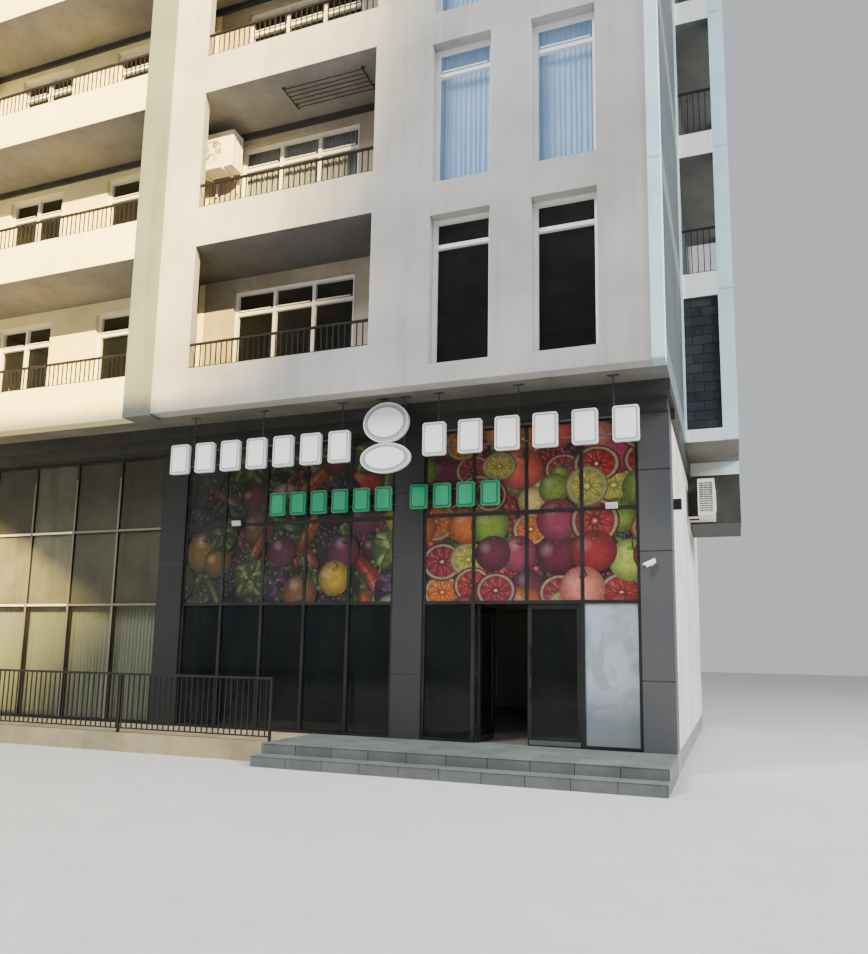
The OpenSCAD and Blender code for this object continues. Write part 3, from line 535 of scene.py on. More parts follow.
# Extruded uPVC window profile: clean white, satin.
UPVC = Coated("extruded_upvc_white", "white_frame", "#e8e8ea", 0.35, dust="#b8b4aa", dusty=0.25, peel=0.0002)
# Moulded polypropylene: dark, with a dull shine.
FAN_PLASTIC = Coated("moulded_polypropylene_dark", "unit_case", "#2a2c2e", 0.45, dusty=0.3)
# EPDM rubber, extruded: nearly black and dull.
RUBBER = Coated("extruded_epdm", "black_frame", "#0f1011", 0.7, dusty=0.1)
# Opal acrylic, cast or laser cut: even and bright, with a soft gloss, and duller trim caps round it.
SIGN_ACRYLIC = TwoTone("cast_acrylic_opal", "sign_white", "#eef0f3", 0.22, dust="#b9b7b0", dusty=0.12)
SIGN_FACE = Coated(
    "laser_cut_opal_acrylic", "sign_white", "#fbfbfd", 0.18, dust="#dcdad4", dusty=0.06, peel=0.0001
)
SIGN_RIM = Coated("rolled_trim_cap_grey", "sign_white", "#a9adb2", 0.3, dusty=0.15)
GREEN_FACE = Coated(
    "laser_cut_acrylic_green", "sign_white", "#23a878", 0.2, dust="#7fb09a", dusty=0.15, peel=0.0001
)
GREEN_RIM = Coated("rolled_trim_cap_green", "sign_white", "#0f6b49", 0.3, dusty=0.15)
OVAL_RING = Coated("printed_acrylic_ring", "sign_white", "#8f9aa6", 0.25, dusty=0.1)
# Float glass: dark where the rooms behind are dark, mirrored at a low angle.
SHOP_GLASS = Glazing("float_glass_shop", "shop_glass", "#0f1418", 0.06, alpha=0.4, smeared=0.06, specular=0.3)
WING_GLASS = Glazing("float_glass_wing", "shop_glass", "#2a2a22", 0.08, alpha=0.2, smeared=0.1, specular=0.35)
ROOM_GLASS = Glazing(
    "float_glass_room", "window_glass", "#232729", 0.05, alpha=0.14, smeared=0.08, specular=0.35
)
# Lamps: an opal lens that glows evenly, and frosted glass that is pale and soft when unlit.
LAMP_LENS = Glow("opal_polycarbonate_lit", "ceiling_board", "#f4f8ff", 0.3, power=9.0)
LAMP_GLASS = Coated("frosted_lamp_glass", "unit_case", "#c9cdd0", 0.15, dusty=0.1)
# Woven polyester and cotton: soft and matt. The voile glows a little: painted light, standing in for daylight
# behind it.
VOILE = Woven("polyester_voile_pale_blue", "white_frame", "#bde0ff", 0.85, shade="#98c2ec", through=0.18)
NET_CURTAIN = Woven("polyester_net_grey", "white_frame", "#a9b0ba", 0.85, shade="#8d949e")
DRAPE = Woven("cotton_drape_cream", "shop_glass", "#9ba28b", 0.9, shade="#838a75")
# Printed vinyl: flat colours under a thin satin skin.
FILM = Printed("printed_vinyl_film", "shop_glass", "#ffffff", 0.4)
POSTER_PRINT = Marbled(
    "printed_vinyl_marbled", "shop_glass", "#a4b0b8", 0.35, vein="#79828a", low="#6c737a"
)
# The frame's nodes by the finish that they take.
FRAME_FINISHES: tuple[tuple[Finish, str], ...] = (
    (MAIN_RENDER, "front_wall_1 front_wall_2 front_wall_3 front_wall_4 roof_parapet"),
    (LOGGIA_RENDER, "loggia_walls"),
    (WING_RENDER, "wing_parapets wing_back_walls"),
    (REAR_RENDER, "rear_wall_upper ground_rear_wall party_wall"),
    (FLANK_RENDER, "side_wall_upper"),
    (SIDE_RENDER, "side_balconies"),
    (PILASTER_PAINT, "pilaster_left"),
    (STRIP_PAINT, "corner_strip side_piers"),
    (YARD_PAINT, "ground_side_wall"),
    (SOFFIT_PAINT, "soffit_slab upper_floor_slabs roof_slab"),
    (FLOOR_SEAL, "floor_slab"),
    (BEAM_PAINT, "edge_beam_outer edge_beam_inner side_beam"),
    (PLINTH_PLASTER, "terrace"),
    (GRANITE_BED, "entrance_steps"),
    (CEILING_BOARD, "shop_ceiling"),
    (MORTAR, "side_infill_wall"),
    (COLUMN_JOINT_SHADE, "shop_columns"),
    (BAY_COAT, "side_bay_lower"),
    (FRAME_COAT, "shopfront_frame_left shopfront_frame_right wing_shopfront_frame"),
    (FRAME_COAT, "door_left_leaf door_right_leaf"),
    (SHOP_GLASS, "shopfront_glass_left shopfront_glass_right door_left_glass door_right_glass"),
    (WING_GLASS, "wing_shopfront_glass"),
    (UPVC, "front_window_frames rear_window_frames side_door_frames"),
    (ROOM_GLASS, "front_window_glass rear_window_glass side_door_glass"),
    (RAIL_PAINT, "terrace_railing loggia_railings wing_railings side_railings"),
    (CASE_ENAMEL, "air_conditioners"),
    (HANGER_PAINT, "sign_hangers"),
    (SIGN_ACRYLIC, "sign_boards"),
)


def scaled(*size: float) -> Matrix:
    """Gives the matrix that stretches a shape by its width, height and depth."""
    return Matrix.Diagonal((*size, 1.0))


def faces_round(verts: Iterable[Vert]) -> list[bmesh.types.BMFace]:
    """Gives the faces round some vertices, each of them once."""
    return list(dict.fromkeys(f for v in verts for f in v.link_faces))


def add_object(name: str, data: bpy.types.ID) -> bpy.types.Object:
    """Puts a new object with some data into the scene.

    Args:
        name: The object's name.
        data: Its mesh, light or camera.

    Returns:
        The object.
    """
    made = bpy.data.objects.new(name, data)
    bpy.context.scene.collection.objects.link(made)
    return made


def add_mesh(name: str, mesh: Mesh, *finishes: Finish) -> bpy.types.Object:
    """Turns a bmesh into an object of the scene, with its finishes.

    Args:
        name: The object's name.
        mesh: Its shapes, which are freed.
        finishes: Its finishes, in the order of the faces' numbers.

    Returns:
        The object, at the origin.
    """
    data = bpy.data.meshes.new(name)
    mesh.to_mesh(data)
    mesh.free()
    for finish in finishes:
        data.materials.append(finish.material())
    return add_object(name, data)


def pour(source: Mesh, target: Mesh) -> None:
    """Adds one bmesh to another and frees it.

    Args:
        source: The shapes to add.
        target: Where they go.
    """
    data = bpy.data.meshes.new("poured")
    source.to_mesh(data)
    source.free()
    target.from_mesh(data)
    bpy.data.meshes.remove(data)


@dataclass(frozen=True)
class Site:
    """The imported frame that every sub-assembly is built against, and its main lines.

    Args:
        nodes: The frame's objects by name.
        corner_x: Right-hand end of the main front.
        face_y: Plane of the main front.
        shop_y: Plane of the shop's columns.
        floor_z: Level of the shop floor.
        overhang_z: Underside of the upper storeys.
        storey: Height of a storey.
    """

    nodes: dict[str, bpy.types.Object]
    corner_x: float
    face_y: float
    shop_y: float
    floor_z: float
    overhang_z: float
    storey: float

    @classmethod
    def read(cls, nodes: dict[str, bpy.types.Object]) -> Site:
        """Reads the main lines from the frame.

        Args:
            nodes: The frame's objects by name.

        Returns:
            The frame with its lines.
        """
        first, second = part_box("front_wall_1"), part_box("front_wall_2")
        return cls(
            nodes,
            corner_x=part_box("corner_strip")[1].x,
            face_y=first[0].y,
            shop_y=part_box("shop_columns")[0].y,
            floor_z=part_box("floor_slab")[1].z,
            overhang_z=first[0].z,
            storey=second[0].z - first[0].z,
        )

    def at(self, x: float, y: float, z: float) -> Vector:
        """Gives the point x right of the front's corner, y behind the front and z above the ground."""
        return Vector((self.corner_x + x, self.face_y + y, z))

    def base(self, storey: int) -> float:
        """Gives the height at which an upper storey starts, counted from 0."""
        return self.overhang_z + self.storey * storey

    def solids(self, node: str) -> list[Box]:
        """Finds the box of each separate solid in one of the frame's nodes.

        Args:
            node: The node's name.

        Returns:
            Pairs of low and high corner, from left to right and then upwards.
        """
        mesh = bmesh.new()
        mesh.from_mesh(self.nodes[node].data)
        bmesh.ops.remove_doubles(mesh, verts=mesh.verts, dist=0.01 * MM)
        boxes: list[Box] = []
        seen: set[Vert] = set()
        for start in mesh.verts:
            if start in seen:
                continue
            seen.add(start)
            island = [start]
            for vert in island:
                fresh = [e.other_vert(vert) for e in vert.link_edges if e.other_vert(vert) not in seen]
                seen.update(fresh)
                island.extend(dict.fromkeys(fresh))
            boxes.append(tuple(Vector(end(v.co[i] for v in island) for i in range(3)) for end in (min, max)))
        mesh.free()
        return sorted(boxes, key=lambda b: (round(b[0].x, 3), round(b[0].y, 3), b[0].z))


class Facing(Enum):
    """The side that a flat shape looks towards."""

    FRONT = Vector((0.0, -1.0, 0.0))
    END = Vector((1.0, 0.0, 0.0))
    REAR = Vector((0.0, 1.0, 0.0))
    DOWN = Vector((0.0, 0.0, -1.0))

    def matrix(self, centre: Vector) -> Matrix:
        """Turns a shape drawn in X and Y so that its +Z looks this way, with its centre placed.

        Args:
            centre: Where the shape's middle goes.

        Returns:
            The matrix that does it.
        """
        if self is Facing.DOWN:
            turn = Matrix.Rotation(math.pi, 4, "X")
        else:
            turn = self.value.to_track_quat("Z", "Y").to_matrix().to_4x4()
        return Matrix.Translation(centre) @ turn


class Piece:
    """A new piece under way: shapes gathered in the frame's coordinates.

    Every shape takes look, which is what Piece.shape says of finish, bevel and tone.

    Args:
        name: The object's name.
        finishes: Its finishes.
        body: The body that it rides on.
    """

    sharp = 0.9

    def __init__(self, name: str, *finishes: Finish, body: str = "building") -> None:
        """Starts the piece with an empty mesh, as the class says."""
        self.name = name
        self.finishes = finishes
        self.body = body
        self.mesh = bmesh.new()
        self.tint = self.mesh.loops.layers.float_color.new("tint")
        self.disc_uv = self.mesh.loops.layers.uv.new("disc")

    def paint(self, verts: Iterable[Vert], tone: str | float, share: float = 1.0) -> None:
        """Writes a tone on the faces round some vertices.

        Args:
            verts: The vertices.
            tone: A hex colour, or a share of full brightness.
            share: A further share, such as the shade of the place.
        """
        colour = linear(tone)[:3] if isinstance(tone, str) else (tone, tone, tone)
        for face in faces_round(verts):
            for loop in face.loops:
                loop[self.tint] = (*(c * share for c in colour), 1.0)

    def shape(self, verts: Iterable[Vert], finish: int = 0, bevel: float = 0.0, tone: float = 1.0) -> None:
        """Gives new geometry its finish and rounds its sharp edges.

        Args:
            verts: The new vertices.
            finish: Which of the piece's finishes it takes.
            bevel: Width of the rounding.
            tone: Its own share of the finish's brightness.
        """
        verts = list(verts)
        self.paint(verts, tone)
        for face in faces_round(verts):
            face.material_index = finish
        if bevel:
            edges = dict.fromkeys(e for v in verts for e in v.link_edges)
            sharp = [e for e in edges if len(e.link_faces) == 2 and e.calc_face_angle() > self.sharp]
            bmesh.ops.bevel(
                self.mesh, geom=sharp, offset=bevel, affect="EDGES", segments=1, profile=0.5, material=-1
            )

    def cube(self, place: Matrix, **look: Any) -> list[Vert]:
        """Adds a cube under a matrix and gives its vertices, which a bevel would replace."""
        made = bmesh.ops.create_cube(self.mesh, size=1.0, matrix=place)["verts"]
        self.shape(made, **look)
        return made

    def block(self, low: Sequence[float], high: Sequence[float], bevel: float = 0.0,
              **look: Any) -> list[Vert]:
        """Adds a block.

        Args:
            low, high: Its corners.
            bevel: Width of the rounding.
            look: Its finish and tone.

        Returns:
            Its vertices, which a bevel would replace.
        """
        low, high = Vector(low), Vector(high)
        return self.cube(Matrix.Translation((low + high) / 2) @ scaled(*(high - low)), bevel=bevel, **look)

    def slab(self, axis: int, along: Span, across: Span, level: Span, bevel: float, **look: Any) -> None:
        """Adds a block on a wall.

        Args:
            axis: 0 where the wall runs along X, 1 where it runs along Y.
            along, across, level: The block's spans along the wall, through it and upwards.
            bevel: Width of the rounding.
            look: Its finish and tone.
        """
        spans = (across, along, level) if axis else (along, across, level)
        self.block([s[0] for s in spans], [s[1] for s in spans], bevel, **look)

    def drum(self, place: Matrix, radius: float, depth: float, sides: int, **look: Any) -> None:
        """Adds a closed cylinder that stands on the Z axis.

        Args:
            place: Matrix that places it.
            radius: Its radius.
            depth: Its length.
            sides: Corners of its outline.
            look: Its finish, bevel and tone.
        """
        made = bmesh.ops.create_cone(
            self.mesh, cap_ends=True, segments=sides, radius1=radius, radius2=radius, depth=depth,
            matrix=place
        )
        self.shape(made["verts"], **look)

    def tube(self, start: Vector, end: Vector, radius: float, sides: int = 8, **look: Any) -> None:
        """Adds a round bar from one point to another, as drum says."""
        turn = (end - start).to_track_quat("Z", "Y").to_matrix().to_4x4()
        self.drum(Matrix.Translation((start + end) / 2) @ turn, radius, (end - start).length, sides, **look)

    def disc(self, centre: Vector, facing: Facing, reach: Span, depth: float, sides: int = 32,
             **look: Any) -> None:
        """Adds a round or oval plate that stands proud of a face.

        Args:
            centre: Middle of its back.
            facing: The side that it looks towards.
            reach: Its half width and half height.
            depth: Its thickness.
            sides: Corners of its outline.
            look: Its finish, bevel and tone.
        """
        place = facing.matrix(centre + facing.value * depth / 2) @ scaled(*reach, 1.0)
        self.drum(place, 1.0, depth, sides, **look)

    def oblong(self, centre: Vector, facing: Facing, size: Span) -> list[Vert]:
        """Adds an oblong face and gives its corners."""
        place = facing.matrix(centre) @ scaled(size[0] / 2, size[1] / 2, 1.0)
        return bmesh.ops.create_grid(self.mesh, x_segments=1, y_segments=1, size=1.0, matrix=place)["verts"]

    def raise_faces(self, faces: list[bmesh.types.BMFace], push: Vector, **look: Any) -> None:
        """Gives flat faces their thickness and their look.

        Args:
            faces: The faces, which stay as the back.
            push: Way from the back to the front.
            look: Finish, bevel and tone.
        """
        back = [v for f in faces for v in f.verts]
        grown = bmesh.ops.extrude_face_region(self.mesh, geom=faces, use_keep_orig=True)["geom"]
        moved = [g for g in grown if isinstance(g, Vert)]
        bmesh.ops.translate(self.mesh, verts=moved, vec=push)
        self.shape(dict.fromkeys([*moved, *back]), **look)

    def plate(self, centre: Vector, facing: Facing, size: Span, corner: float, depth: float,
              **look: Any) -> None:
        """Adds an oblong plate with round corners that stands proud of a face.

        Args:
            centre: Middle of its back.
            facing: The side that it looks towards.
            size: Its width and height.
            corner: Radius of its corners.
            depth: Its thickness.
            look: Its finish, bevel and tone.
        """
        rounded = bmesh.ops.bevel(
            self.mesh, geom=self.oblong(centre, facing, size), offset=corner, affect="VERTICES", segments=4,
            profile=0.5, material=-1
        )
        self.raise_faces(faces_round(rounded["verts"]), facing.value * depth, **look)

    def ring(self, centre: Vector, facing: Facing, size: Span, bar: float, depth: float,
             **look: Any) -> None:
        """Adds an oblong frame that stands proud of a face.

        Args:
            centre: Middle of its back.
            facing: The side that it looks towards.
            size: Outer width and height.
            bar: Width of its bars.
            depth: Its thickness.
            look: Its finish, bevel and tone.
        """
        inner = faces_round(self.oblong(centre, facing, size))
        rim = bmesh.ops.inset_region(self.mesh, faces=inner, thickness=bar, use_even_offset=True)["faces"]
        bmesh.ops.delete(self.mesh, geom=inner, context="FACES_ONLY")
        self.raise_faces(rim, facing.value * depth, **look)

    def hoop(self, centre: Vector, facing: Facing, radius: float, wire: float, steps: int = 32,
             **look: Any) -> None:
        """Adds a closed ring of round wire.

        Args:
            centre: Its middle.
            facing: The side that it looks towards.
            radius: Its radius.
            wire: Radius of the wire.
            steps: Corners of its outline.
            look: Its finish, bevel and tone.
        """
        spun = bmesh.new()
        section = Matrix.Translation((radius, 0.0, 0.0)) @ Matrix.Rotation(math.pi / 2, 4, "X")
        bmesh.ops.create_circle(spun, segments=6, radius=wire, matrix=section)
        bmesh.ops.spin(
            spun, geom=[*spun.verts, *spun.edges], cent=(0, 0, 0), axis=(0, 0, 1), angle=2 * math.pi,
            steps=steps, use_merge=True
        )
        bmesh.ops.transform(spun, matrix=facing.matrix(centre), verts=spun.verts)
        bmesh.ops.recalc_face_normals(spun, faces=spun.faces)
        before = len(self.mesh.verts)
        pour(spun, self.mesh)
        self.mesh.verts.ensure_lookup_table()
        self.shape(self.mesh.verts[before:], **look)

    def place(self, closed: bool = True) -> bpy.types.Object:
        """Makes the object, dresses it and puts it on its body.

        Args:
            closed: Whether its shapes are closed, so that their outside can be worked out.

        Returns:
            The finished piece.
        """
        if closed:
            bmesh.ops.recalc_face_normals(self.mesh, faces=self.mesh.faces)
        made = add_mesh(self.name, self.mesh, *self.finishes)
        made.data.shade_smooth()
        made.data.set_sharp_from_angle(angle=math.radians(32))
        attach(made, self.body)
        log.info("%s: %d faces on %s", self.name, len(made.data.polygons), self.body)
        return made


@dataclass(frozen=True)
class Lamp:
    """A lamp of the studio: a square soft light, or a spot if it has a cone.

    Args:
        name: Its name.
        place, aim: Where it hangs, and what it is aimed at.
        size: Side of a soft light, or radius of a spot.
        power: Its power in watts.
        colour: Colour of its light.
        cone: Full angle of a spot's cone in degrees.
        blend: Share of the cone in which the spot fades out.
    """

    name: str
    place: Place
    aim: Place
    size: float
    power: float
    colour: str
    cone: float = 0.0
    blend: float = 0.45

    def hang(self) -> None:
        """Hangs the lamp and keeps its own shape out of the mirror images."""
        data = bpy.data.lights.new(self.name, "SPOT" if self.cone else "AREA")
        data.energy = self.power
        data.color = linear(self.colour)[:3]
        if self.cone:
            data.shadow_soft_size = self.size
            data.spot_size = math.radians(self.cone)
            data.spot_blend = self.blend
        else:
            data.size = self.size
        lamp = add_object(self.name, data)
        turn = (Vector(self.aim) - Vector(self.place)).to_track_quat("-Z", "Y").to_matrix().to_4x4()
        lamp.matrix_world = Matrix.Translation(self.place) @ turn
        lamp.visible_glossy = False


@dataclass
class Studio:
    """Pale floor, soft light and the camera at the photograph's place.

    Args:
        eye: The camera's place.
        yaw, pitch, roll: Its turns in degrees: to the left, up, and clockwise.
        lens: Focal length in millimetres for a picture as high as the sensor.
        sensor: Height of the sensor in millimetres.
        rise: Upward shift of the picture, as a share of its height.
        floor_reach, floor_sides: Radius of the floor, and corners of its edge.
        sky, sky_power: Colour and strength of the light from all round.
        soft: The two soft lights, from the front and from the side.
        sun: The warm far lamp whose cone fades out before the front's right part.
        flagged: Corners, in X and Z, of the part of the shopfront's plane that a card keeps that lamp off.
        card_share: Where the card hangs on the way from that lamp to the shopfront.
    """

    eye: Place = (8.347, -16.874, 1.806)
    yaw: float = 20.608
    pitch: float = 8.379
    roll: float = 0.984
    lens: float = 30.19
    sensor: float = 36.0
    rise: float = 0.0606
    floor_reach: float = 90.0
    floor_sides: int = 96
    sky: str = "#e9ebee"
    sky_power: float = 0.7
    soft: tuple[Lamp, ...] = (
        Lamp("key", (-8.0, -24.0, 28.0), (-1.0, 0.0, 6.0), 12.0, 13600.0, "#fbf8f4"),
        Lamp("side", (33.0, -8.0, 18.0), (7.0, 3.0, 7.0), 12.0, 21000.0, "#eef2f6"),
    )
    sun: Lamp = Lamp("low_sun", (60.0, -75.0, 41.0), (-20.0, 0.0, 9.0), 0.05, 4800000.0, "#ffdb84", 15.6)
    flagged: tuple[Span, ...] = ((-9.1, 5.6), (0.65, 0.0), (4.0, -4.0), (14.0, -4.0), (14.0, 5.6))
    card_share: float = 0.2

    def build(self) -> None:
        """Makes the camera, the floor and the lights."""
        self.set_camera()
        self.lay_floor()
        for lamp in (*self.soft, self.sun):
            lamp.hang()
        self.hang_flag()
        world = bpy.data.worlds.new("studio")
        world.use_nodes = True
        tree = world.node_tree
        fill(tree, tree.nodes["Background"], Color=self.sky, Strength=self.sky_power)
        bpy.context.scene.world = world

    def set_camera(self) -> None:
        """Puts the camera where the photograph was taken from."""
        data = bpy.data.cameras.new("photograph")
        data.sensor_fit = "VERTICAL"
        data.sensor_height = self.sensor
        data.lens = self.lens
        data.shift_y = self.rise
        camera = add_object("photograph", data)
        turned = Matrix.Translation(self.eye)
        for angle, axis in ((self.yaw, "Z"), (90 + self.pitch, "X"), (self.roll, "Z")):
            turned = turned @ Matrix.Rotation(math.radians(angle), 4, axis)
        camera.matrix_world = turned
        bpy.context.scene.camera = camera

    def lay_floor(self) -> None:
        """Lays a round pale floor whose top is the ground."""
        mesh = bmesh.new()
        bmesh.ops.create_circle(mesh, cap_ends=True, segments=self.floor_sides, radius=self.floor_reach)
        floor = add_mesh("studio_floor", mesh, STUDIO_FLOOR)

    def hang_flag(self) -> None:
        """Hangs the black card, whose slanting edge falls on the wing's glazing."""
        lamp = Vector(self.sun.place)
        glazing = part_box("wing_shopfront_glass")[0].y
        mesh = bmesh.new()
        corners = [lamp.lerp(Vector((x, glazing, z)), self.card_share) for x, z in self.flagged]
        bmesh.ops.contextual_create(mesh, geom=[mesh.verts.new(corner) for corner in corners])
        flag = add_mesh("flag", mesh, RUBBER)
        flag.visible_camera = False
        flag.visible_glossy = False


@dataclass
class Assembly:
    """New pieces that belong together.

    Args:
        site: What they are built against.
    """

    site: Site

    def build(self) -> None:
        """Makes the pieces."""
        raise NotImplementedError


@dataclass
class EntranceSteps(Assembly):
    """Granite tiles on the treads and risers of the entrance platform.

    Args:
        tile: Width of a tile along the front.
        going: Going of the lower step.
        rows: Rows of tiles on the platform.
        thick: Thickness of a tile.
        joint: Width of a joint.
        edge: Rounding of a tile's edges, and the gap above a riser.
        nosing: How far a tread stands over its riser.
        treads, risers: Least and most brightness of their tiles; the risers' lower range is painted shade on
            the upright faces.
        seed: Start of the random draws.
    """

    tile: float = 0.6
    going: float = 0.3
    rows: int = 3
    thick: float = 0.012
    joint: float = 0.008
    edge: float = 2 * MM
    nosing: float = 0.02
    treads: Span = (0.64, 0.76)
    risers: Span = (0.5, 0.6)
    seed: int = 11

    def build(self) -> None:
        """Lays the treads, the risers and the tiles of the open end."""
        low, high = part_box("entrance_steps")
        piece = Piece("entrance_step_tiles", GRANITE)
        rng = random.Random(self.seed)
        count = round((high.x - low.x) / self.tile)
        pitch = (high.x - low.x) / count
        rise, half, thick = high.z / 2, self.joint / 2, self.thick
        step = low.y + self.going
        depth = (high.y - step) / self.rows
        rows = [(step + i * depth, step + (i + 1) * depth, high.z) for i in range(self.rows)]
        faces = ((low.y, 0.0, rise - self.edge), (step, rise, 2 * rise - self.edge))
        for i in range(count):
            left, right = low.x + i * pitch + half, low.x + (i + 1) * pitch - half
            end = right + (thick if i == count - 1 else 0.0)
            for front, back, top in [(low.y, step, rise), *rows]:
                start = front - (self.nosing if front in (low.y, step) else -half)
                piece.block(
                    (left, start, top), (end, back - half - thick, top + thick), self.edge,
                    tone=rng.uniform(*self.treads)
                )
            for front, foot, top in faces:
                # The risers' darker range is painted shade on the upright faces.
                tone = rng.uniform(*self.risers)
                piece.block((left, front - thick, foot), (right, front, top), self.edge, tone=tone)
        for front, foot, top in faces:
            run = (high.y - front) / self.rows
            for i in range(self.rows):
                near, far = front + i * run + half, front + (i + 1) * run - half
                # The open end's upright tiles take the same painted shade.
                tone = rng.uniform(*self.risers)
                piece.block((high.x, near, foot), (high.x + thick, far, top), self.edge, tone=tone)
        piece.place()


@dataclass
class ColumnCladding(Assembly):
    """Coated sheets round the shop's columns, with open joints between them.

    Args:
        seams: Heights of the level joints.
        tones: Brightness of each column's sheets, from the shaded left one to the right one: painted shade on
            sheets of one coat.
        uneven: Least and most that a sheet's brightness is changed by.
        thick: How far a sheet stands off.
        edge: Rounding of its edges.
        joint: Width of a joint, drawn at twice the real 10 mm.
        seed: Start of the random draws.
    """

    seams: tuple[float, ...] = (1.42, 3.47, 4.8)
    tones: tuple[float, ...] = (0.13, 0.27, 0.66)
    uneven: Span = (0.95, 1.05)
    thick: float = 0.006
    edge: float = 2 * MM
    joint: float = 0.02
    seed: int = 5

    def build(self) -> None:
        """Wraps the three columns in turn."""
        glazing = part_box("shopfront_frame_left")[0].y
        rng = random.Random(self.seed)
        for number, (low, high) in enumerate(self.site.solids("shop_columns"), start=1):
            piece = Piece(f"column_cladding_{number}", PANEL_COAT)
            levels = [low.z, *self.seams, high.z]
            outer = high.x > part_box("entrance_steps")[1].x - 0.01
            left, right = low.x - self.thick, high.x + self.thick
            sheets = (
                (left, right, low.y - self.thick, low.y),
                (left, low.x, low.y, glazing),
                (high.x, right, low.y, high.y if outer else glazing),
            )
            for foot, top in zip(levels, levels[1:]):
                # Each column's share is painted shade, darkest on the left; the random part is the sheets'
                # own.
                tone = self.tones[number - 1] * rng.uniform(*self.uneven)
                for start, end, near, far in sheets:
                    piece.block(
                        (start, near, foot + self.joint / 2), (end, far, top - self.joint / 2), self.edge,
                        tone=tone
                    )
            piece.place()


@dataclass
class SignFaces(Assembly):
    """Faces and rims of the blank sign boxes, and the oval plates' rings.

    Args:
        inset: Distance of a rim from its box's edge.
        rim: Width of the rim round a face.
        thick: Thickness of a rim.
        corner: Radius of the corners.
        oval: Least width of an oval plate; the other boxes are narrower.
        ring, field: Shares of an oval's width and height that its ring, and the plain field in it, reach.
        sides: Corners of an oval's outline.
    """

    inset: float = 0.022
    rim: float = 0.025
    thick: float = 0.006
    corner: float = 0.03
    oval: float = 0.7
    ring: Span = (0.9, 0.88)
    field: Span = (0.83, 0.79)
    sides: int = 48

    def build(self) -> None:
        """Fits one face on each box; the ovals come with a coloured ring."""
        white = Piece("sign_faces_white", SIGN_FACE, SIGN_RIM)
        green = Piece("sign_faces_green", GREEN_FACE, GREEN_RIM)
        ovals = Piece("sign_faces_oval", SIGN_FACE, OVAL_RING, SIGN_RIM)
        for low, high in self.site.solids("sign_boards"):
            centre = Vector(((low.x + high.x) / 2, low.y, (low.z + high.z) / 2))
            size = (high.x - low.x, high.z - low.z)
            if size[0] > self.oval:
                layers = ((self.field, 0.0), (self.ring, 0.0), ((1.0, 1.0), 2 * MM))
                for finish, (share, bevel) in reversed(list(enumerate(layers))):
                    reach = tuple((size[i] / 2 - self.inset) * share[i] for i in (0, 1))
                    depth = self.thick + (2 - finish) * MM
                    ovals.disc(
                        centre, Facing.FRONT, reach, depth, self.sides, finish=finish, bevel=bevel
                    )
                continue
            piece = green if high.z < SIGN_ACRYLIC.split else white
            for finish, step in ((1, self.inset), (0, self.inset + self.rim)):
                face = (size[0] - 2 * step, size[1] - 2 * step)
                depth = self.thick + (1 - finish) * 2 * MM
                piece.plate(centre, Facing.FRONT, face, self.corner, depth, finish=finish)
        for piece in (white, green, ovals):
            piece.place()


@dataclass
class WindowSashes(Assembly):
    """Opening sashes of the white windows and doors, with their gaskets and drip rails.

    Args:
        node: The frame's node that they sit in.
        facing: The side that its windows look towards.
        bar: Width of the frame's bars.
        top_light: Height of a top light.
        panel: Height of a side door's closed foot.
        wide: Widths past which a window has two and three lights side by side.
        sash: Width of a sash profile.
        bead: Width of the bead round a pane that doesn't open.
        proud: How far a sash stands before its frame.
        seat: Depth of a sash inside its frame.
        edge: Rounding of its edges.
        gasket: Width of the rubber round the glass.
        drip: Height and depth of a drip rail.
    """

    node: str
    facing: Facing
    bar: float = 0.07
    top_light: float = 0.45
    panel: float = 1.0
    wide: Span = (1.3, 2.2)
    sash: float = 0.042
    bead: float = 0.014
    proud: float = 0.01
    seat: float = 0.03
    edge: float = 4 * MM
    gasket: float = 0.01
    drip: Span = (0.018, 0.012)

    def build(self) -> None:
        """Fills each light of each window."""
        piece = Piece(f"{self.node}_sashes", UPVC, RUBBER)
        door = self.facing is Facing.END
        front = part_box("front_wall_1")[1].y
        for low, high in self.site.solids(self.node):
            start, end = low[int(door)], high[int(door)]
            count = 1 if door else 1 + sum(end - start > width for width in self.wide)
            pitch = (end - start - self.bar) / count
            foot = low.z + (self.panel if door else self.bar)
            split = high.z - self.top_light
            for i in range(count):
                light = (start + self.bar + i * pitch, start + (i + 1) * pitch)
                for level in ((foot, split - self.bar), (split, high.z - self.bar)):
                    fixed = low.y < front and (level[0] == foot or low.z < self.site.base(1))
                    self.fit(piece, (low, high), light, level, self.bead if fixed else self.sash)
        piece.place()

    def fit(self, piece: Piece, frame: Box, light: Span, level: Span, bar: float) -> None:
        """Fits a sash with its gasket and drip rail into one light, or only a bead and its gasket.

        Args:
            piece: Where the shapes go.
            frame: The frame's corners.
            light: The light's ends along the wall.
            level: Its foot and top.
            bar: Width of the sash or bead.
        """
        out = self.facing.value
        middle, height = sum(light) / 2, sum(level) / 2
        width, rise = light[1] - light[0], level[1] - level[0]
        if self.facing is Facing.END:
            seat = Vector((frame[1].x - self.seat, middle, height))
        else:
            face = frame[int(self.facing is Facing.REAR)].y
            seat = Vector((middle, face - out.y * self.seat, height))
        depth = self.seat + self.proud if bar == self.sash else self.proud
        piece.ring(seat, self.facing, (width, rise), bar, depth, bevel=self.edge)
        piece.ring(seat, self.facing, (width - 2 * bar, rise - 2 * bar), self.gasket, depth / 2, finish=1)
        if bar == self.sash:
            rail = seat + out * depth
            rail.z = level[0] + bar / 2
            piece.plate(rail, self.facing, (width - 2 * bar, self.drip[0]), self.edge, self.drip[1])


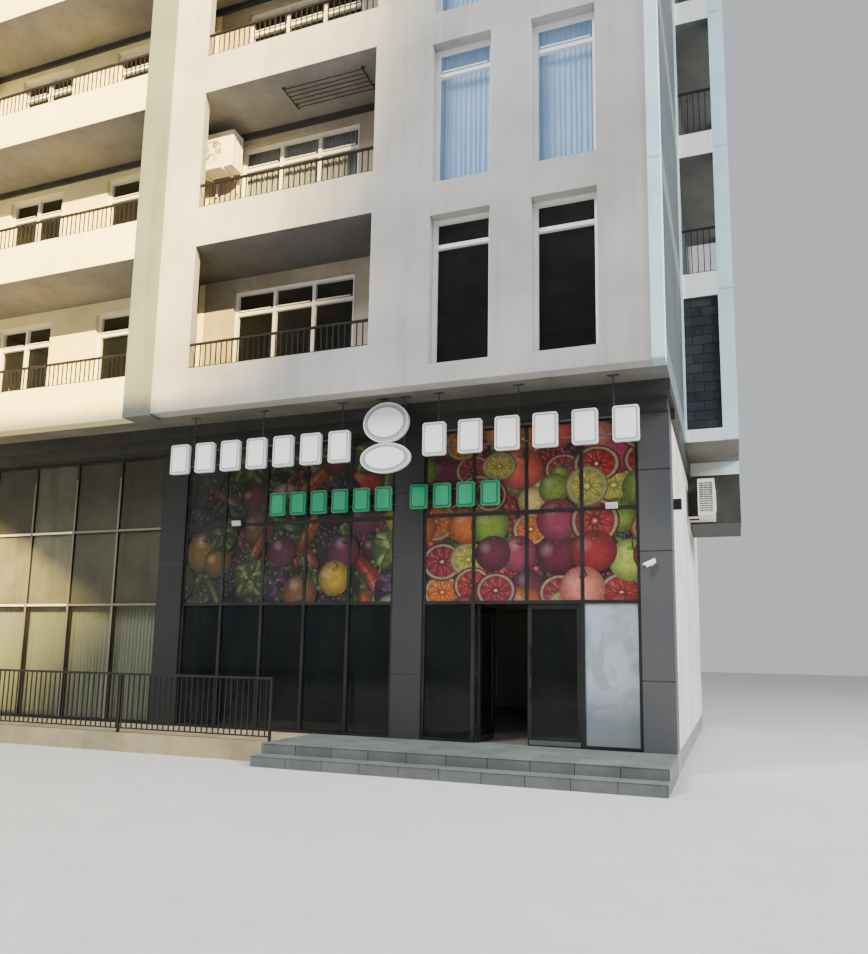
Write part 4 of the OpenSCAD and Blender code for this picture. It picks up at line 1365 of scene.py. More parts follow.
@dataclass
class LoggiaCeilings(Assembly):
    """Skim coat under the ceilings and lintels of the loggias, and dark paint on the ribs over their back
    walls; the tones of both are painted shade.

    Args:
        thick: Thickness of the coats.
        main_span: Ends of a main loggia's room, from the corner.
        past: How far the wing's coat reaches past its parapets.
        near: Distance within which a coat's corner counts as the splayed one.
        tones: Brightness of the main loggias' coats from the lowest storey up: painted shade, deepest in the
            lowest storey.
        wing_shade_tone: Brightness of the wing's coats, painted shade as well.
        splay: How far a main opening widens inwards at its left end.
        rib: Depth and height of the rib above the back walls of all but the lowest storey.
        rib_shade_tone: Brightness of the dark paint on the rib: painted shade where the ceiling meets the
            back wall.
    """

    thick: float = 0.003
    main_span: Span = (-9.43, -4.835)
    past: float = 0.1
    near: float = 0.1
    tones: tuple[float, ...] = (0.46, 0.85, 0.95, 0.95)
    wing_shade_tone: float = 0.78
    splay: float = 0.118
    rib: Span = (0.06, 0.12)
    rib_shade_tone: float = 0.2

    def build(self) -> None:
        """Coats the ceilings, the lintels' undersides and the ribs, storey by storey."""
        site, near = self.site, self.near
        piece = Piece("loggia_ceiling_skim", SLAB_PAINT)
        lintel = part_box("front_wall_1")[1].y
        opening = site.solids("loggia_railings")[0]
        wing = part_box("wing_parapets")
        room = [site.corner_x + x for x in self.main_span]
        # The coats' tones are painted shade, the lowest storey's the darkest.
        for storey, tone in enumerate(self.tones):
            ceiling = site.base(storey + 1)
            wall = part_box("wing_back_walls")[0].y if storey else site.shop_y
            under, over = ceiling - self.thick, ceiling - MM / 2
            for (left, right), (start, end), share, splay in (
                (opening, room, tone, self.splay),
                (wing, (wing[0].x, wing[1].x + self.past), self.wing_shade_tone, 0.0),
            ):
                coat = piece.block(
                    (left.x + MM, site.face_y + MM, under), (right.x - MM, lintel, over), tone=share
                )
                for vert in coat:
                    if vert.co.x < left.x + near and vert.co.y > lintel - near:
                        vert.co.x -= splay
                piece.block((start, lintel, under), (end, wall - MM, over), tone=share)
                # The ribs' dark paint is painted shade at the top of the back walls.
                if storey:
                    top = ceiling - self.rib[1] - MM / 2
                    foot = top - self.thick
                    front, inside = wall - self.thick, wall + self.rib[0] - MM
                    piece.block((start, front, foot), (end, wall - MM / 2, under), tone=self.rib_shade_tone)
                    piece.block((start, wall, foot), (end, inside, top), tone=self.rib_shade_tone)
        piece.place()


@dataclass
class Curtains(Assembly):
    """Voile behind the tall windows, a net in the main loggia and a drape in the wing, each on its own rail.

    Args:
        storeys: The storeys that have voile, counted from 0.
        parting: Distance from the corner that parts the left windows from the right ones.
        loggia_storey: The storey that has the net.
        fold: Distance from fold to fold.
        sweep: Depth of a fold at the hem.
        room: Distance of the rail behind the wall's inner face.
        drop: Distance of the rail below the ceiling.
        over: How far a curtain reaches past its window.
        hem: Height of a hem above the storey's slab.
        reveal: Distance of the loggia wall's inner face behind its window.
        drape: Height of the drape's hem over the floor, and of its ceiling over the shop's.
        margin: Distance of a bracket from the rail's end, and of the drape from its frame's end.
        reach: How far a rail reaches past its curtain.
        rod, finial, arm: Radius of the rail and of its finials, and half width of a bracket.
        steps: Faces of the cloth to each fold.
        rows: Rows of faces from hem to rail.
    """

    storeys: tuple[int, ...] = (1, 2, 3)
    parting: float = 2.5
    loggia_storey: int = 1
    fold: float = 0.088
    sweep: float = 0.045
    room: float = 0.09
    drop: float = 0.12
    over: float = 0.12
    hem: float = 0.23
    reveal: float = 0.09
    drape: Span = (0.02, 0.04)
    margin: float = 0.08
    reach: float = 0.05
    rod: float = 0.014
    finial: float = 0.024
    arm: float = 0.01
    steps: int = 12
    rows: int = 14

    def build(self) -> None:
        """Hangs one in each tall window, one in the loggia and one behind the wing's low panes."""
        site = self.site
        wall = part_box("front_wall_1")[1].y
        frames = site.solids("front_window_frames")
        for low, high in frames:
            storey = math.floor((low.z - site.overhang_z) / site.storey)
            if low.y < wall and storey in self.storeys:
                side = "left" if low.x < site.corner_x - self.parting else "right"
                levels = (site.base(storey) + self.hem, site.base(storey + 1))
                self.hang(f"curtain_{side}_storey_{storey + 1}", (low.x, high.x), wall, levels, VOILE)
        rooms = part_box("loggia_walls")
        levels = (site.base(self.loggia_storey), site.base(self.loggia_storey + 1))
        low, high = next(
            b for b in frames
            if b[0].x > rooms[0].x and b[1].x < rooms[1].x and levels[0] < b[0].z < levels[1]
        )
        levels = (levels[0] + self.hem, levels[1])
        self.hang("loggia_curtain", (low.x, high.x), high.y + self.reveal, levels, NET_CURTAIN)
        low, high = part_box("wing_shopfront_frame")
        levels = (site.floor_z + self.drape[0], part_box("shop_ceiling")[0].z + self.drape[1])
        gap = self.over + self.margin
        self.hang("wing_drape_1", (low.x + gap, high.x - gap), high.y, levels, DRAPE)

    def hang(self, name: str, window: Span, wall: float, levels: Span, finish: Woven) -> None:
        """Hangs a curtain from its rail.

        Args:
            name: The curtain's name.
            window: Ends of the window in X.
            wall: The wall's inner face.
            levels: Height of the hem and of the ceiling.
            finish: What the cloth is.
        """
        start, end = window[0] - self.over, window[1] + self.over
        y, top = wall + self.room, levels[1] - self.drop
        rail = self.make_rail(name, (start - self.reach, end + self.reach), wall, top)
        width, height = end - start, top - levels[0]
        mesh = bmesh.new()
        columns = round(self.steps * width / self.fold)
        made = bmesh.ops.create_grid(
            mesh, x_segments=columns, y_segments=self.rows, size=0.5, calc_uvs=True
        )
        # The folds wander along the rail, and get deeper and looser from the rail to the hem.
        for vert in made["verts"]:
            across, up = vert.co.x + 0.5, vert.co.y + 0.5
            turn = 2 * math.pi * across * width / self.fold + 0.6 * math.sin(5 * across + 2 * (1 - up))
            swing = self.sweep * (0.55 + 0.45 * (1 - up)) * math.sin(turn)
            drift = 0.012 * math.sin(turn * 0.37 + 3 * up) * (1 - up)
            vert.co = Vector((start + across * width + drift, y + 0.5 * swing, levels[0] + up * height))
        area = sum(face.calc_area() for face in mesh.faces)
        cloth = add_mesh(name, mesh, finish)
        cloth.data.shade_smooth()
        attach(cloth, "building")
        log.info("%s: gathered from %.2f m to %.2f m", name, area / height, width)

    def make_rail(self, name: str, ends: Span, wall: float, level: float) -> bpy.types.Object:
        """Makes a rail with its finials and brackets.

        Args:
            name: The curtain's name.
            ends: The rail's ends in X.
            wall: The wall's inner face.
            level: Height of the rail.

        Returns:
            The rail.
        """
        piece = Piece(f"{name}_rail", CURTAIN_RAIL)
        y, arm = wall + self.room, self.arm
        tips = [Vector((x, y, level)) for x in ends]
        piece.tube(*tips, self.rod, sides=12)
        for tip in tips:
            piece.disc(tip, Facing.END, (self.finial, self.finial), 0.02, sides=16, bevel=4 * MM)
        for x in (ends[0] + self.margin, ends[1] - self.margin):
            piece.block((x - arm, wall, level - 0.012), (x + arm, y + arm, level + 0.012), 2 * MM)
        return piece.place()


class Motif(Enum):
    """What a printed shape shows."""

    ROUND = "a whole round fruit"
    CUT = "a cut citrus fruit"
    PEAR = "a pear"
    BUNCH = "a bunch of berries"
    SPRIG = "a sprig of leaves"
    HEAD = "a leafy head"
    LONG = "a long root or pod"


@dataclass(frozen=True)
class Palette:
    """Colours that one kind of motif is printed in.

    Args:
        motif: What it shows.
        weight: How often it comes.
        size: Smallest and largest half width in metres.
        tones: Pairs of main and second colour.
    """

    motif: Motif
    weight: int
    size: Span
    tones: tuple[tuple[str, str], ...]


FRUIT = (
    Palette(Motif.ROUND, 4, (0.3, 0.4), (
        ("#8e1f24", "#c2503f"), ("#6f8a24", "#a5b84a"), ("#a8303a", "#d07a68"), ("#5c1430", "#8a2f4a"),
        ("#b86224", "#d88c44"),
    )),
    Palette(Motif.CUT, 5, (0.3, 0.42), (
        ("#b85a18", "#dc8a30"), ("#8e1c1c", "#c23a32"), ("#a39a34", "#cfc468"), ("#7c1a2c", "#b4404c"),
    )),
    Palette(Motif.PEAR, 2, (0.25, 0.31), (("#a0863a", "#c4ac64"), ("#6f8428", "#a2b045"))),
    Palette(Motif.BUNCH, 6, (0.17, 0.25), (
        ("#1c1224", "#3a2c48"), ("#8e1a26", "#c04450"), ("#2c101c", "#5c2038"), ("#7a1420", "#a83040"),
    )),
    Palette(Motif.SPRIG, 3, (0.2, 0.3), (("#152c1a", "#31552c"), ("#20401e", "#4d6e30"))),
)
VEGETABLES = (
    Palette(Motif.HEAD, 5, (0.34, 0.5), (
        ("#2f4a22", "#6f8a4c"), ("#4d6a2c", "#93a85c"), ("#341a38", "#6a3c68"),
    )),
    Palette(Motif.ROUND, 5, (0.24, 0.4), (
        ("#741a18", "#a8382c"), ("#8e6438", "#b88c58"), ("#a07a1c", "#c8a438"), ("#a89c88", "#cfc4b0"),
        ("#421428", "#702c4c"),
    )),
    Palette(Motif.LONG, 3, (0.26, 0.4), (
        ("#a04a18", "#c47434"), ("#41602a", "#7a9444"), ("#861e1a", "#b44034"),
    )),
    Palette(Motif.BUNCH, 4, (0.17, 0.25), (
        ("#38561f", "#6a863c"), ("#6c241e", "#96463a"), ("#241224", "#4a2a48"),
    )),
    Palette(Motif.SPRIG, 3, (0.2, 0.32), (("#1c361a", "#41602f"), ("#284522", "#5a783e"))),
)


@dataclass(frozen=True)
class Mark:
    """One motif of the print, as the lots have drawn it.

    Args:
        motif: What it shows.
        centre: Its middle in X and Z.
        depth: How far it lies before the film.
        reach: Half of its width.
        tones: Its main and second colour.
        painted_shade: Brightness of the print there: painted shade.
        draw: Start of its own random draws.
    """

    motif: Motif
    centre: Span
    depth: float
    reach: float
    tones: tuple[str, str]
    painted_shade: float
    draw: float


@dataclass
class ShopFilm(Assembly):
    """Printed film on the upper panes of a shopfront bay, with a design of this script's own.

    Args:
        node: The glass that it is stuck to.
        palettes: What the print shows.
        ground: Colour between the shapes.
        seed: Start of the random draws.
        painted_shade_ends: Brightness of the print at its left and right end: painted shade, higher where the
            overhang shades it less.
        pitch: Distance from one large motif to the next.
        small: Share of that distance between small motifs.
        free: Shares of the distance between which a motif's middle lies.
        foot: Least height of the panes that it covers.
        stand: Distance of the film before the glass.
        step: Distance from one printed shape to the next.
    """

    node: str
    palettes: tuple[Palette, ...]
    ground: str
    seed: int
    painted_shade_ends: Span
    pitch: float = 0.52
    small: float = 0.62
    free: Span = (0.2, 0.8)
    foot: float = 2.0
    stand: float = 1 * MM
    step: float = 0.05 * MM

    def build(self) -> None:
        """Draws the motifs once and cuts them to each pane."""
        panes = [b for b in self.site.solids(self.node) if b[0].z > self.foot]
        low = Vector(min(b[0][i] for b in panes) for i in range(3))
        high = Vector(max(b[1][i] for b in panes) for i in range(3))
        marks = self.scatter(low, high, random.Random(self.seed))
        piece = Piece(f"{self.node}_film", FILM)
        for pane in panes:
            self.cut(piece, marks, pane, low.y - self.stand)
        piece.place(closed=False)

    def scatter(self, low: Vector, high: Vector, rng: random.Random) -> list[Mark]:
        """Draws lots for every motif: berries and leaves first, then the large ones over them.

        Args:
            low, high: Corners of the whole print.
            rng: Source of the draws.

        Returns:
            The motifs, the ones at the back first.
        """
        marks = []
        for level, pitch in ((1, self.pitch * self.small), (10, self.pitch)):
            kinds = [p for p in self.palettes if (p.motif in (Motif.BUNCH, Motif.SPRIG)) == (level == 1)]
            bag = [p for p in kinds for _ in range(p.weight)]
            for i in range(-1, math.ceil((high.x - low.x) / pitch) + 1):
                # The print's brightness is painted shade, running from the left end's value to the right
                # end's.
                share = max(0.0, min(1.0, i * pitch / (high.x - low.x)))
                painted_shade = self.painted_shade_ends[0] + (self.painted_shade_ends[1] - self.painted_shade_ends[0]) * share
                for j in range(-1, math.ceil((high.z - low.z) / pitch) + 1):
                    palette = rng.choice(bag)
                    x = low.x + (i + rng.uniform(*self.free)) * pitch
                    z = low.z + (j + rng.uniform(*self.free)) * pitch
                    # Neighbours within two places never share a depth, so no two shapes lie in one plane.
                    depth = self.step * 20 * (level + (i % 3) * 3 + (j * 2 + i) % 3)
                    reach, tones = rng.uniform(*palette.size), rng.choice(palette.tones)
                    marks.append(Mark(palette.motif, (x, z), depth, reach, tones, painted_shade, rng.random()))
        return marks

    def cut(self, piece: Piece, marks: list[Mark], pane: Box, front: float) -> None:
        """Draws what touches one pane, trims it to the pane and adds it to the film.

        Args:
            piece: The film.
            marks: All motifs.
            pane: The pane's corners.
            front: Plane of the film.
        """
        low, high = pane
        sheet = Piece("sheet")
        for mark in marks:
            (x, z), near = mark.centre, 2 * mark.reach
            if low.x - near < x < high.x + near and low.z - near < z < high.z + near:
                Pen(sheet, mark, Vector((x, front - mark.depth, z)), self.step).draw()
        for corner, outward in ((low, -1.0), (high, 1.0)):
            for axis in (Vector((1.0, 0.0, 0.0)), Vector((0.0, 0.0, 1.0))):
                geom = [*sheet.mesh.verts, *sheet.mesh.edges, *sheet.mesh.faces]
                bmesh.ops.bisect_plane(
                    sheet.mesh, geom=geom, plane_co=corner, plane_no=axis * outward, clear_outer=True
                )
        middle = Vector(((low.x + high.x) / 2, front, (low.z + high.z) / 2))
        ground = sheet.oblong(middle, Facing.FRONT, (high.x - low.x, high.z - low.z))
        # The ground between the shapes takes the mean painted shade.
        sheet.paint(ground, self.ground, sum(self.painted_shade_ends) / 2)
        pour(sheet.mesh, piece.mesh)


class Pen:
    """Draws one motif out of flat ovals, each one step before the last.

    Args:
        piece: Where the ovals go.
        mark: The motif.
        centre: Its middle.
        step: Distance from oval to oval.
    """

    stalk = "#3a2c1a"
    pith = "#cfc49c"

    def __init__(self, piece: Piece, mark: Mark, centre: Vector, step: float) -> None:
        """Takes up the mark's own draws, as the class says."""
        self.piece = piece
        self.mark = mark
        self.tones = mark.tones
        self.centre = centre
        self.step = step
        self.rng = random.Random(mark.draw)
        self.drawn = 0

    def oval(self, x: float, z: float, wide: float, tall: float, turn: float, tone: str,
             sides: int = 12) -> None:
        """Draws an oval.

        Args:
            x, z: Its middle, as shares of the motif's reach.
            wide, tall: Its half width and half height, as shares too.
            turn: Its turn to the left.
            tone: Its colour.
            sides: Corners of its outline.
        """
        made = bmesh.ops.create_circle(self.piece.mesh, cap_ends=True, segments=sides, radius=1.0)
        verts = made["verts"]
        for loop in dict.fromkeys(l for v in verts for l in v.link_loops):
            loop[self.piece.disc_uv].uv = loop.vert.co.xy
        self.drawn += 1
        reach = self.mark.reach
        spot = self.centre + Vector((x * reach, -self.drawn * self.step, z * reach))
        place = Facing.FRONT.matrix(spot) @ Matrix.Rotation(turn, 4, "Z")
        sized = scaled(wide * reach, tall * reach, 1.0)
        bmesh.ops.transform(self.piece.mesh, matrix=place @ sized, verts=verts)
        # The mark's brightness is painted shade.
        self.piece.paint(verts, tone, self.mark.painted_shade)

    def draw(self) -> None:
        """Draws the motif."""
        {
            Motif.ROUND: self.whole,
            Motif.CUT: self.cut_open,
            Motif.PEAR: self.pear,
            Motif.BUNCH: self.bunch,
            Motif.SPRIG: self.sprig,
            Motif.HEAD: self.head,
            Motif.LONG: self.long_pod,
        }[self.mark.motif]()

    def whole(self) -> None:
        """A round fruit with a hollow and a stalk."""
        turn, tone = self.rng.uniform(-0.5, 0.5), self.tones[self.rng.random() < 0.4]
        self.oval(0, 0, 1, self.rng.uniform(0.86, 1.05), turn, tone, 32)
        self.oval(0.05, 0.55, 0.2, 0.09, turn, self.tones[0], 14)
        self.oval(0.12, 0.76, 0.04, 0.26, turn + 0.3, self.stalk, 8)

    def cut_open(self) -> None:
        """A cut fruit with its rind, pith and wedges."""
        turn, flat = self.rng.uniform(0, 3), self.rng.uniform(0.8, 1.0)
        for reach, tone in ((1, self.tones[0]), (0.92, self.pith), (0.8, self.tones[1])):
            self.oval(0, 0, reach, reach * flat, 0, tone, 32)
        wedges = 9
        for i in range(wedges):
            angle = turn + 2 * math.pi * i / wedges
            self.oval(0.44 * math.cos(angle), 0.44 * flat * math.sin(angle), 0.33, 0.12, angle, self.tones[0])
        self.oval(0, 0, 0.08, 0.08, 0, self.pith, 10)

    def pear(self) -> None:
        """A pear with its neck, stalk and leaf."""
        lean, tone = self.rng.uniform(-0.7, 0.7), self.tones[self.rng.random() < 0.4]
        up = Vector((math.sin(lean), math.cos(lean)))
        self.oval(*(up * 0.85), 0.55, 0.72, -lean, tone, 20)
        self.oval(0, 0, 1, 1, 0, tone, 28)
        self.oval(*(up * 1.7), 0.05, 0.3, -lean, self.stalk, 8)
        self.oval(up.x * 1.6 + 0.3, up.y * 1.6, 0.35, 0.14, 0.5, "#2c4a24")

    def bunch(self) -> None:
        """A bunch of berries, closer towards its middle."""
        for i in reversed(range(17)):
            angle, far = i * 2.4, 0.24 * math.sqrt(i)
            self.oval(far * math.cos(angle), far * math.sin(angle), 0.27, 0.27, 0, self.tones[i % 3 == 1], 14)
        self.oval(0.1, 1.05, 0.5, 0.12, 0.5, "#24401c")

    def sprig(self) -> None:
        """A sprig with pairs of leaves."""
        lean = self.rng.uniform(-0.9, 0.9)
        for i in range(4):
            along = -0.9 + 0.55 * i
            for side in (-1, 1):
                angle = math.pi / 2 - lean + side * 0.8
                x = along * math.sin(lean) + 0.42 * math.cos(angle)
                z = along * math.cos(lean) + 0.42 * math.sin(angle)
                self.oval(x, z, 0.46, 0.17, angle, self.tones[(i + side) % 2])
        self.oval(0, 0, 0.035, 1.1, -lean, "#6f7c44", 8)

    def head(self) -> None:
        """A leafy head: rings of leaves, paler inwards."""
        self.oval(0, 0, 1, 0.95, 0, self.tones[0], 28)
        for ring, (count, far, wide) in enumerate(((9, 0.66, 0.38), (6, 0.36, 0.34), (3, 0.14, 0.24))):
            for i in range(count):
                angle = 2 * math.pi * (i + 0.5 * ring) / count + 0.4 * (i % 2)
                x, z = far * math.cos(angle), far * math.sin(angle)
                self.oval(x, z, wide, wide * 0.56, angle, self.tones[(i + ring) % 2])

    def long_pod(self) -> None:
        """A long root or pod with its marks and a tuft."""
        lean = self.rng.uniform(0.3, 2.8)
        run = Vector((math.cos(lean), math.sin(lean)))
        self.oval(0, 0, 1.5, 0.42, lean, self.tones[0], 28)
        self.oval(-0.1, 0.06, 1.2, 0.16, lean, self.tones[1], 20)
        for i in range(5):
            self.oval(*(run * (-0.9 + 0.42 * i)), 0.03, 0.2, lean, "#5a4024", 8)
        for i in range(3):
            self.oval(*(run * 1.7), 0.5, 0.1, lean + 0.5 * (i - 1), "#2f4a1f")


@dataclass
class PosterFilm(Assembly):
    """Pale film over the end pane beside the entrance: soft rock and sky tones, no picture.

    Args:
        thick: Thickness of the film, drawn at 1 mm.
    """

    thick: float = 1 * MM

    def build(self) -> None:
        """Covers the lowest pane at the entrance end."""
        low, high = [b for b in self.site.solids("shopfront_glass_right") if b[0].z < 1.0][-1]
        piece = Piece("end_pane_film", POSTER_PRINT)
        piece.block((low.x, low.y - 2 * self.thick, low.z), (high.x, low.y - self.thick, high.z))
        piece.place()


@dataclass
class BlockCourses(Assembly):
    """Bare blocks of the closed side balcony, in running bond.

    Args:
        block: Length and height of a block.
        least: Length of the shortest cut block.
        joint: Width of a mortar joint.
        proud: How far a block stands before the joints.
        edge: Rounding of a block's edges.
        uneven: Most that a block of a far face stands back.
        tones: Least and most brightness of a block.
        seed: Start of the random draws.
    """

    block: Span = (0.39, 0.19)
    least: float = 0.04
    joint: float = 0.012
    proud: float = 0.01
    edge: float = 4 * MM
    uneven: float = 3 * MM
    tones: Span = (0.8, 1.2)
    seed: int = 17

    def build(self) -> None:
        """Lays the courses on the outer faces of the three walls."""
        piece = Piece("side_infill_blocks", BLOCK_FACE)
        rng = random.Random(self.seed)
        length = self.block[0] + self.joint
        for low, high in self.site.solids("side_infill_wall"):
            along = int(high.x - low.x < high.y - low.y)
            across = 1 - along
            far = across == 0 or low.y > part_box("side_infill_wall")[0].y + 1.0
            face = high[across] if far else low[across]
            outer = (face, face + self.proud) if far else (face - self.proud, face)
            courses = round((high.z - low.z) / (self.block[1] + self.joint))
            rise = (high.z - low.z) / courses
            for course in range(courses):
                foot = low.z + course * rise
                start = low[along] - (course % 2) * length / 2
                while start < high[along]:
                    ends = max(start, low[along]), min(start + self.block[0], high[along])
                    start += length
                    if ends[1] - ends[0] >= self.least:
                        # Both faces draw a lot, but only the outer one stands back by it.
                        back = [rng.uniform(0, self.uneven * n) if far else 0.0 for n in (0, 1)]
                        depths = (outer[0] - back[0], outer[1] - back[1])
                        level = (foot, foot + rise - self.joint)
                        piece.slab(along, ends, depths, level, self.edge, tone=rng.uniform(*self.tones))
        piece.place()


@dataclass
class OutdoorUnitFans(Assembly):
    """Wire guards and fans in the openings of the two outdoor units.

    Args:
        from_end: Distance of a fan's middle from the left end of its case.
        half_case: Half the height of a case.
        reach: Radius of the opening.
        hub: Radius of the hub.
        wire: Radius of a guard wire.
        pitch: Distance from hoop to hoop.
        proud, back: How far the guard stands before the opening, and the blades behind it.
        spokes: Straight wires of a guard, of which every other one ends in a foot.
        blades: Blades of a fan.
        blade: Distance of a blade's middle from the hub's, its half length and its half width.
        tilt: Turn of a blade.
        case: Depth of the side unit's case.
        margin: Plain margins of its end, at the sides and at the foot and top.
        web: Width left between two slots.
        grille: Columns and rows of slots in the end of that case.
    """

    from_end: float = 0.34
    half_case: float = 0.39
    reach: float = 0.245
    hub: float = 0.065
    wire: float = 0.004
    pitch: float = 0.03
    proud: float = 0.012
    back: float = 0.02
    spokes: int = 8
    blades: int = 5
    blade: tuple[float, float, float] = (0.15, 0.085, 0.05)
    tilt: float = 0.35
    case: float = 0.34
    margin: Span = (0.03, 0.07)
    web: float = 0.018
    grille: tuple[int, int] = (3, 13)

    def build(self) -> None:
        """Fits one fan and one guard on each unit."""
        for low, high in self.site.solids("air_conditioners"):
            level = high.z - self.half_case
            if low.x < self.site.corner_x - 1.0:
                centre = Vector((low.x + self.from_end, low.y, level))
                self.fit("outdoor_unit_fan_loggia", centre, Facing.FRONT)
            else:
                self.slot_end(low, high)
                centre = Vector((high.x, high.y - self.from_end, level))
                self.fit("outdoor_unit_fan_side", centre, Facing.END)

    def slot_end(self, low: Vector, high: Vector) -> None:
        """Makes the slotted air inlet in the side unit's end, which faces the street.

        Args:
            low, high: The unit's corners.
        """
        piece = Piece("outdoor_unit_end_grille", CASE_ENAMEL, FAN_PLASTIC)
        left, foot = high.x - self.case, high.z - 2 * self.half_case
        columns, rows = self.grille
        beside, below = self.margin
        across, rise = (self.case - 2 * beside) / columns, (high.z - foot - 2 * below) / rows
        width = across - self.web
        for column in range(columns):
            for row in range(rows):
                x, z = left + beside + (column + 0.5) * across, foot + below + (row + 0.5) * rise
                middle = Vector((x, low.y, z))
                piece.plate(middle, Facing.FRONT, (width, rise * 0.55), 4 * MM, 3 * MM, finish=1)
                piece.block(
                    (x - width / 2, low.y - 0.009, z + rise * 0.2),
                    (x + width / 2, low.y, z + rise * 0.32), MM
                )
        piece.place()

    def fit(self, name: str, centre: Vector, facing: Facing) -> None:
        """Makes the fan, its guard and the plain hub cap of one unit.

        Args:
            name: The piece's name.
            centre: Middle of the opening.
            facing: The side that it looks towards.
        """
        piece = Piece(name, CASE_ENAMEL, FAN_PLASTIC)
        out, along = facing.value, Vector((1.0, 0.0, 0.0))
        far, long, wide = self.blade
        shape = Matrix.Translation(along * far) @ Matrix.Rotation(self.tilt, 4, "X") @ scaled(long, wide, 1.0)
        place = facing.matrix(centre - out * self.back)
        for i in range(self.blades):
            turn = Matrix.Rotation(2 * math.pi * i / self.blades, 4, "Z")
            piece.drum(place @ turn @ shape, 1.0, 0.006, 16, finish=1)
        front = centre + out * self.proud
        for i in range(int((self.reach - self.hub) / self.pitch) + 1):
            piece.hoop(front, facing, self.reach - i * self.pitch, self.wire)
        for i in range(self.spokes):
            turn = facing.matrix(front) @ Matrix.Rotation(2 * math.pi * i / self.spokes, 4, "Z")
            piece.tube(turn @ (along * self.hub * 0.7), turn @ (along * (self.reach + 0.006)), self.wire)
            if i % 2:
                foot = turn @ (along * (self.reach + 0.004))
                piece.tube(foot - out * 0.014, foot, self.wire * 1.6)
        piece.disc(front - out * 0.008, facing, (self.hub, self.hub), 0.014, sides=24, bevel=4 * MM)
        piece.place()


@dataclass
class CeilingLights(Assembly):
    """Round lamps sunk in the shop's ceiling.

    Args:
        rows: Distances of the rows behind the main front.
        first: Distance of the first lamp from the corner.
        last: Least distance of a lamp from the ceiling's left end.
        pitch: Distance from lamp to lamp.
        reach: Radius of a lens.
        thick: Thickness of a lens, and radius of the rim's round bar.
        sunk: How far the rim hangs below the ceiling.
    """

    rows: tuple[float, ...] = (3.5, 4.9, 8.0, 10.0)
    first: float = 1.2
    last: float = 0.5
    pitch: float = 1.45
    reach: float = 0.1
    thick: float = 0.012
    sunk: float = 0.004

    def build(self) -> None:
        """Sets the lamps in rows from wall to wall."""
        low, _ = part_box("shop_ceiling")
        piece = Piece("shop_ceiling_lights", LAMP_LENS, UPVC)
        for row in self.rows:
            x = self.site.corner_x - self.first
            while x > low.x + self.last:
                centre = Vector((x, self.site.face_y + row, low.z))
                piece.disc(centre, Facing.DOWN, (self.reach, self.reach), self.thick, sides=20)
                rim = centre - Vector((0, 0, self.sunk))
                piece.hoop(rim, Facing.DOWN, self.reach, self.thick, steps=20, finish=1)
                x -= self.pitch
        piece.place()


@dataclass
class DryingRack(Assembly):
    """Rack of thin rods under the ceiling of a loggia.

    Args:
        storey: The storey that it hangs in, counted from 0.
        span: Left and right arm, measured from the corner.
        depth: Front and back of the arms behind the main front.
        drop: Distance below the ceiling.
        rods: How many rods.
        arm, rod: Radius of an arm, and of a rod or hanger.
        hangers: Places of the hangers along an arm, as shares of it.
        foot: Radius and thickness of a hanger's foot.
    """

    storey: int = 1
    span: Span = (-6.96, -5.28)
    depth: Span = (0.31, 0.96)
    drop: float = 0.06
    rods: int = 6
    arm: float = 0.014
    rod: float = 0.008
    hangers: Span = (0.12, 0.88)
    foot: Span = (0.03, 0.006)

    def build(self) -> None:
        """Makes the arms, the rods and the four hangers."""
        site = self.site
        piece = Piece("drying_rack", RAIL_PAINT)
        ceiling = site.base(self.storey + 1)
        level = ceiling - self.drop
        for x in self.span:
            front, back = (site.at(x, y, level) for y in self.depth)
            piece.tube(front, back, self.arm, sides=10)
            for share in self.hangers:
                end = front.lerp(back, share)
                top = Vector((end.x, end.y, ceiling))
                piece.tube(end, top, self.rod)
                piece.disc(top, Facing.DOWN, (self.foot[0], self.foot[0]), self.foot[1], sides=12)
        for i in range(self.rods):
            y = self.depth[0] + (i + 0.5) * (self.depth[1] - self.depth[0]) / self.rods
            piece.tube(*(site.at(x, y, level) for x in self.span), self.rod)
        piece.place()


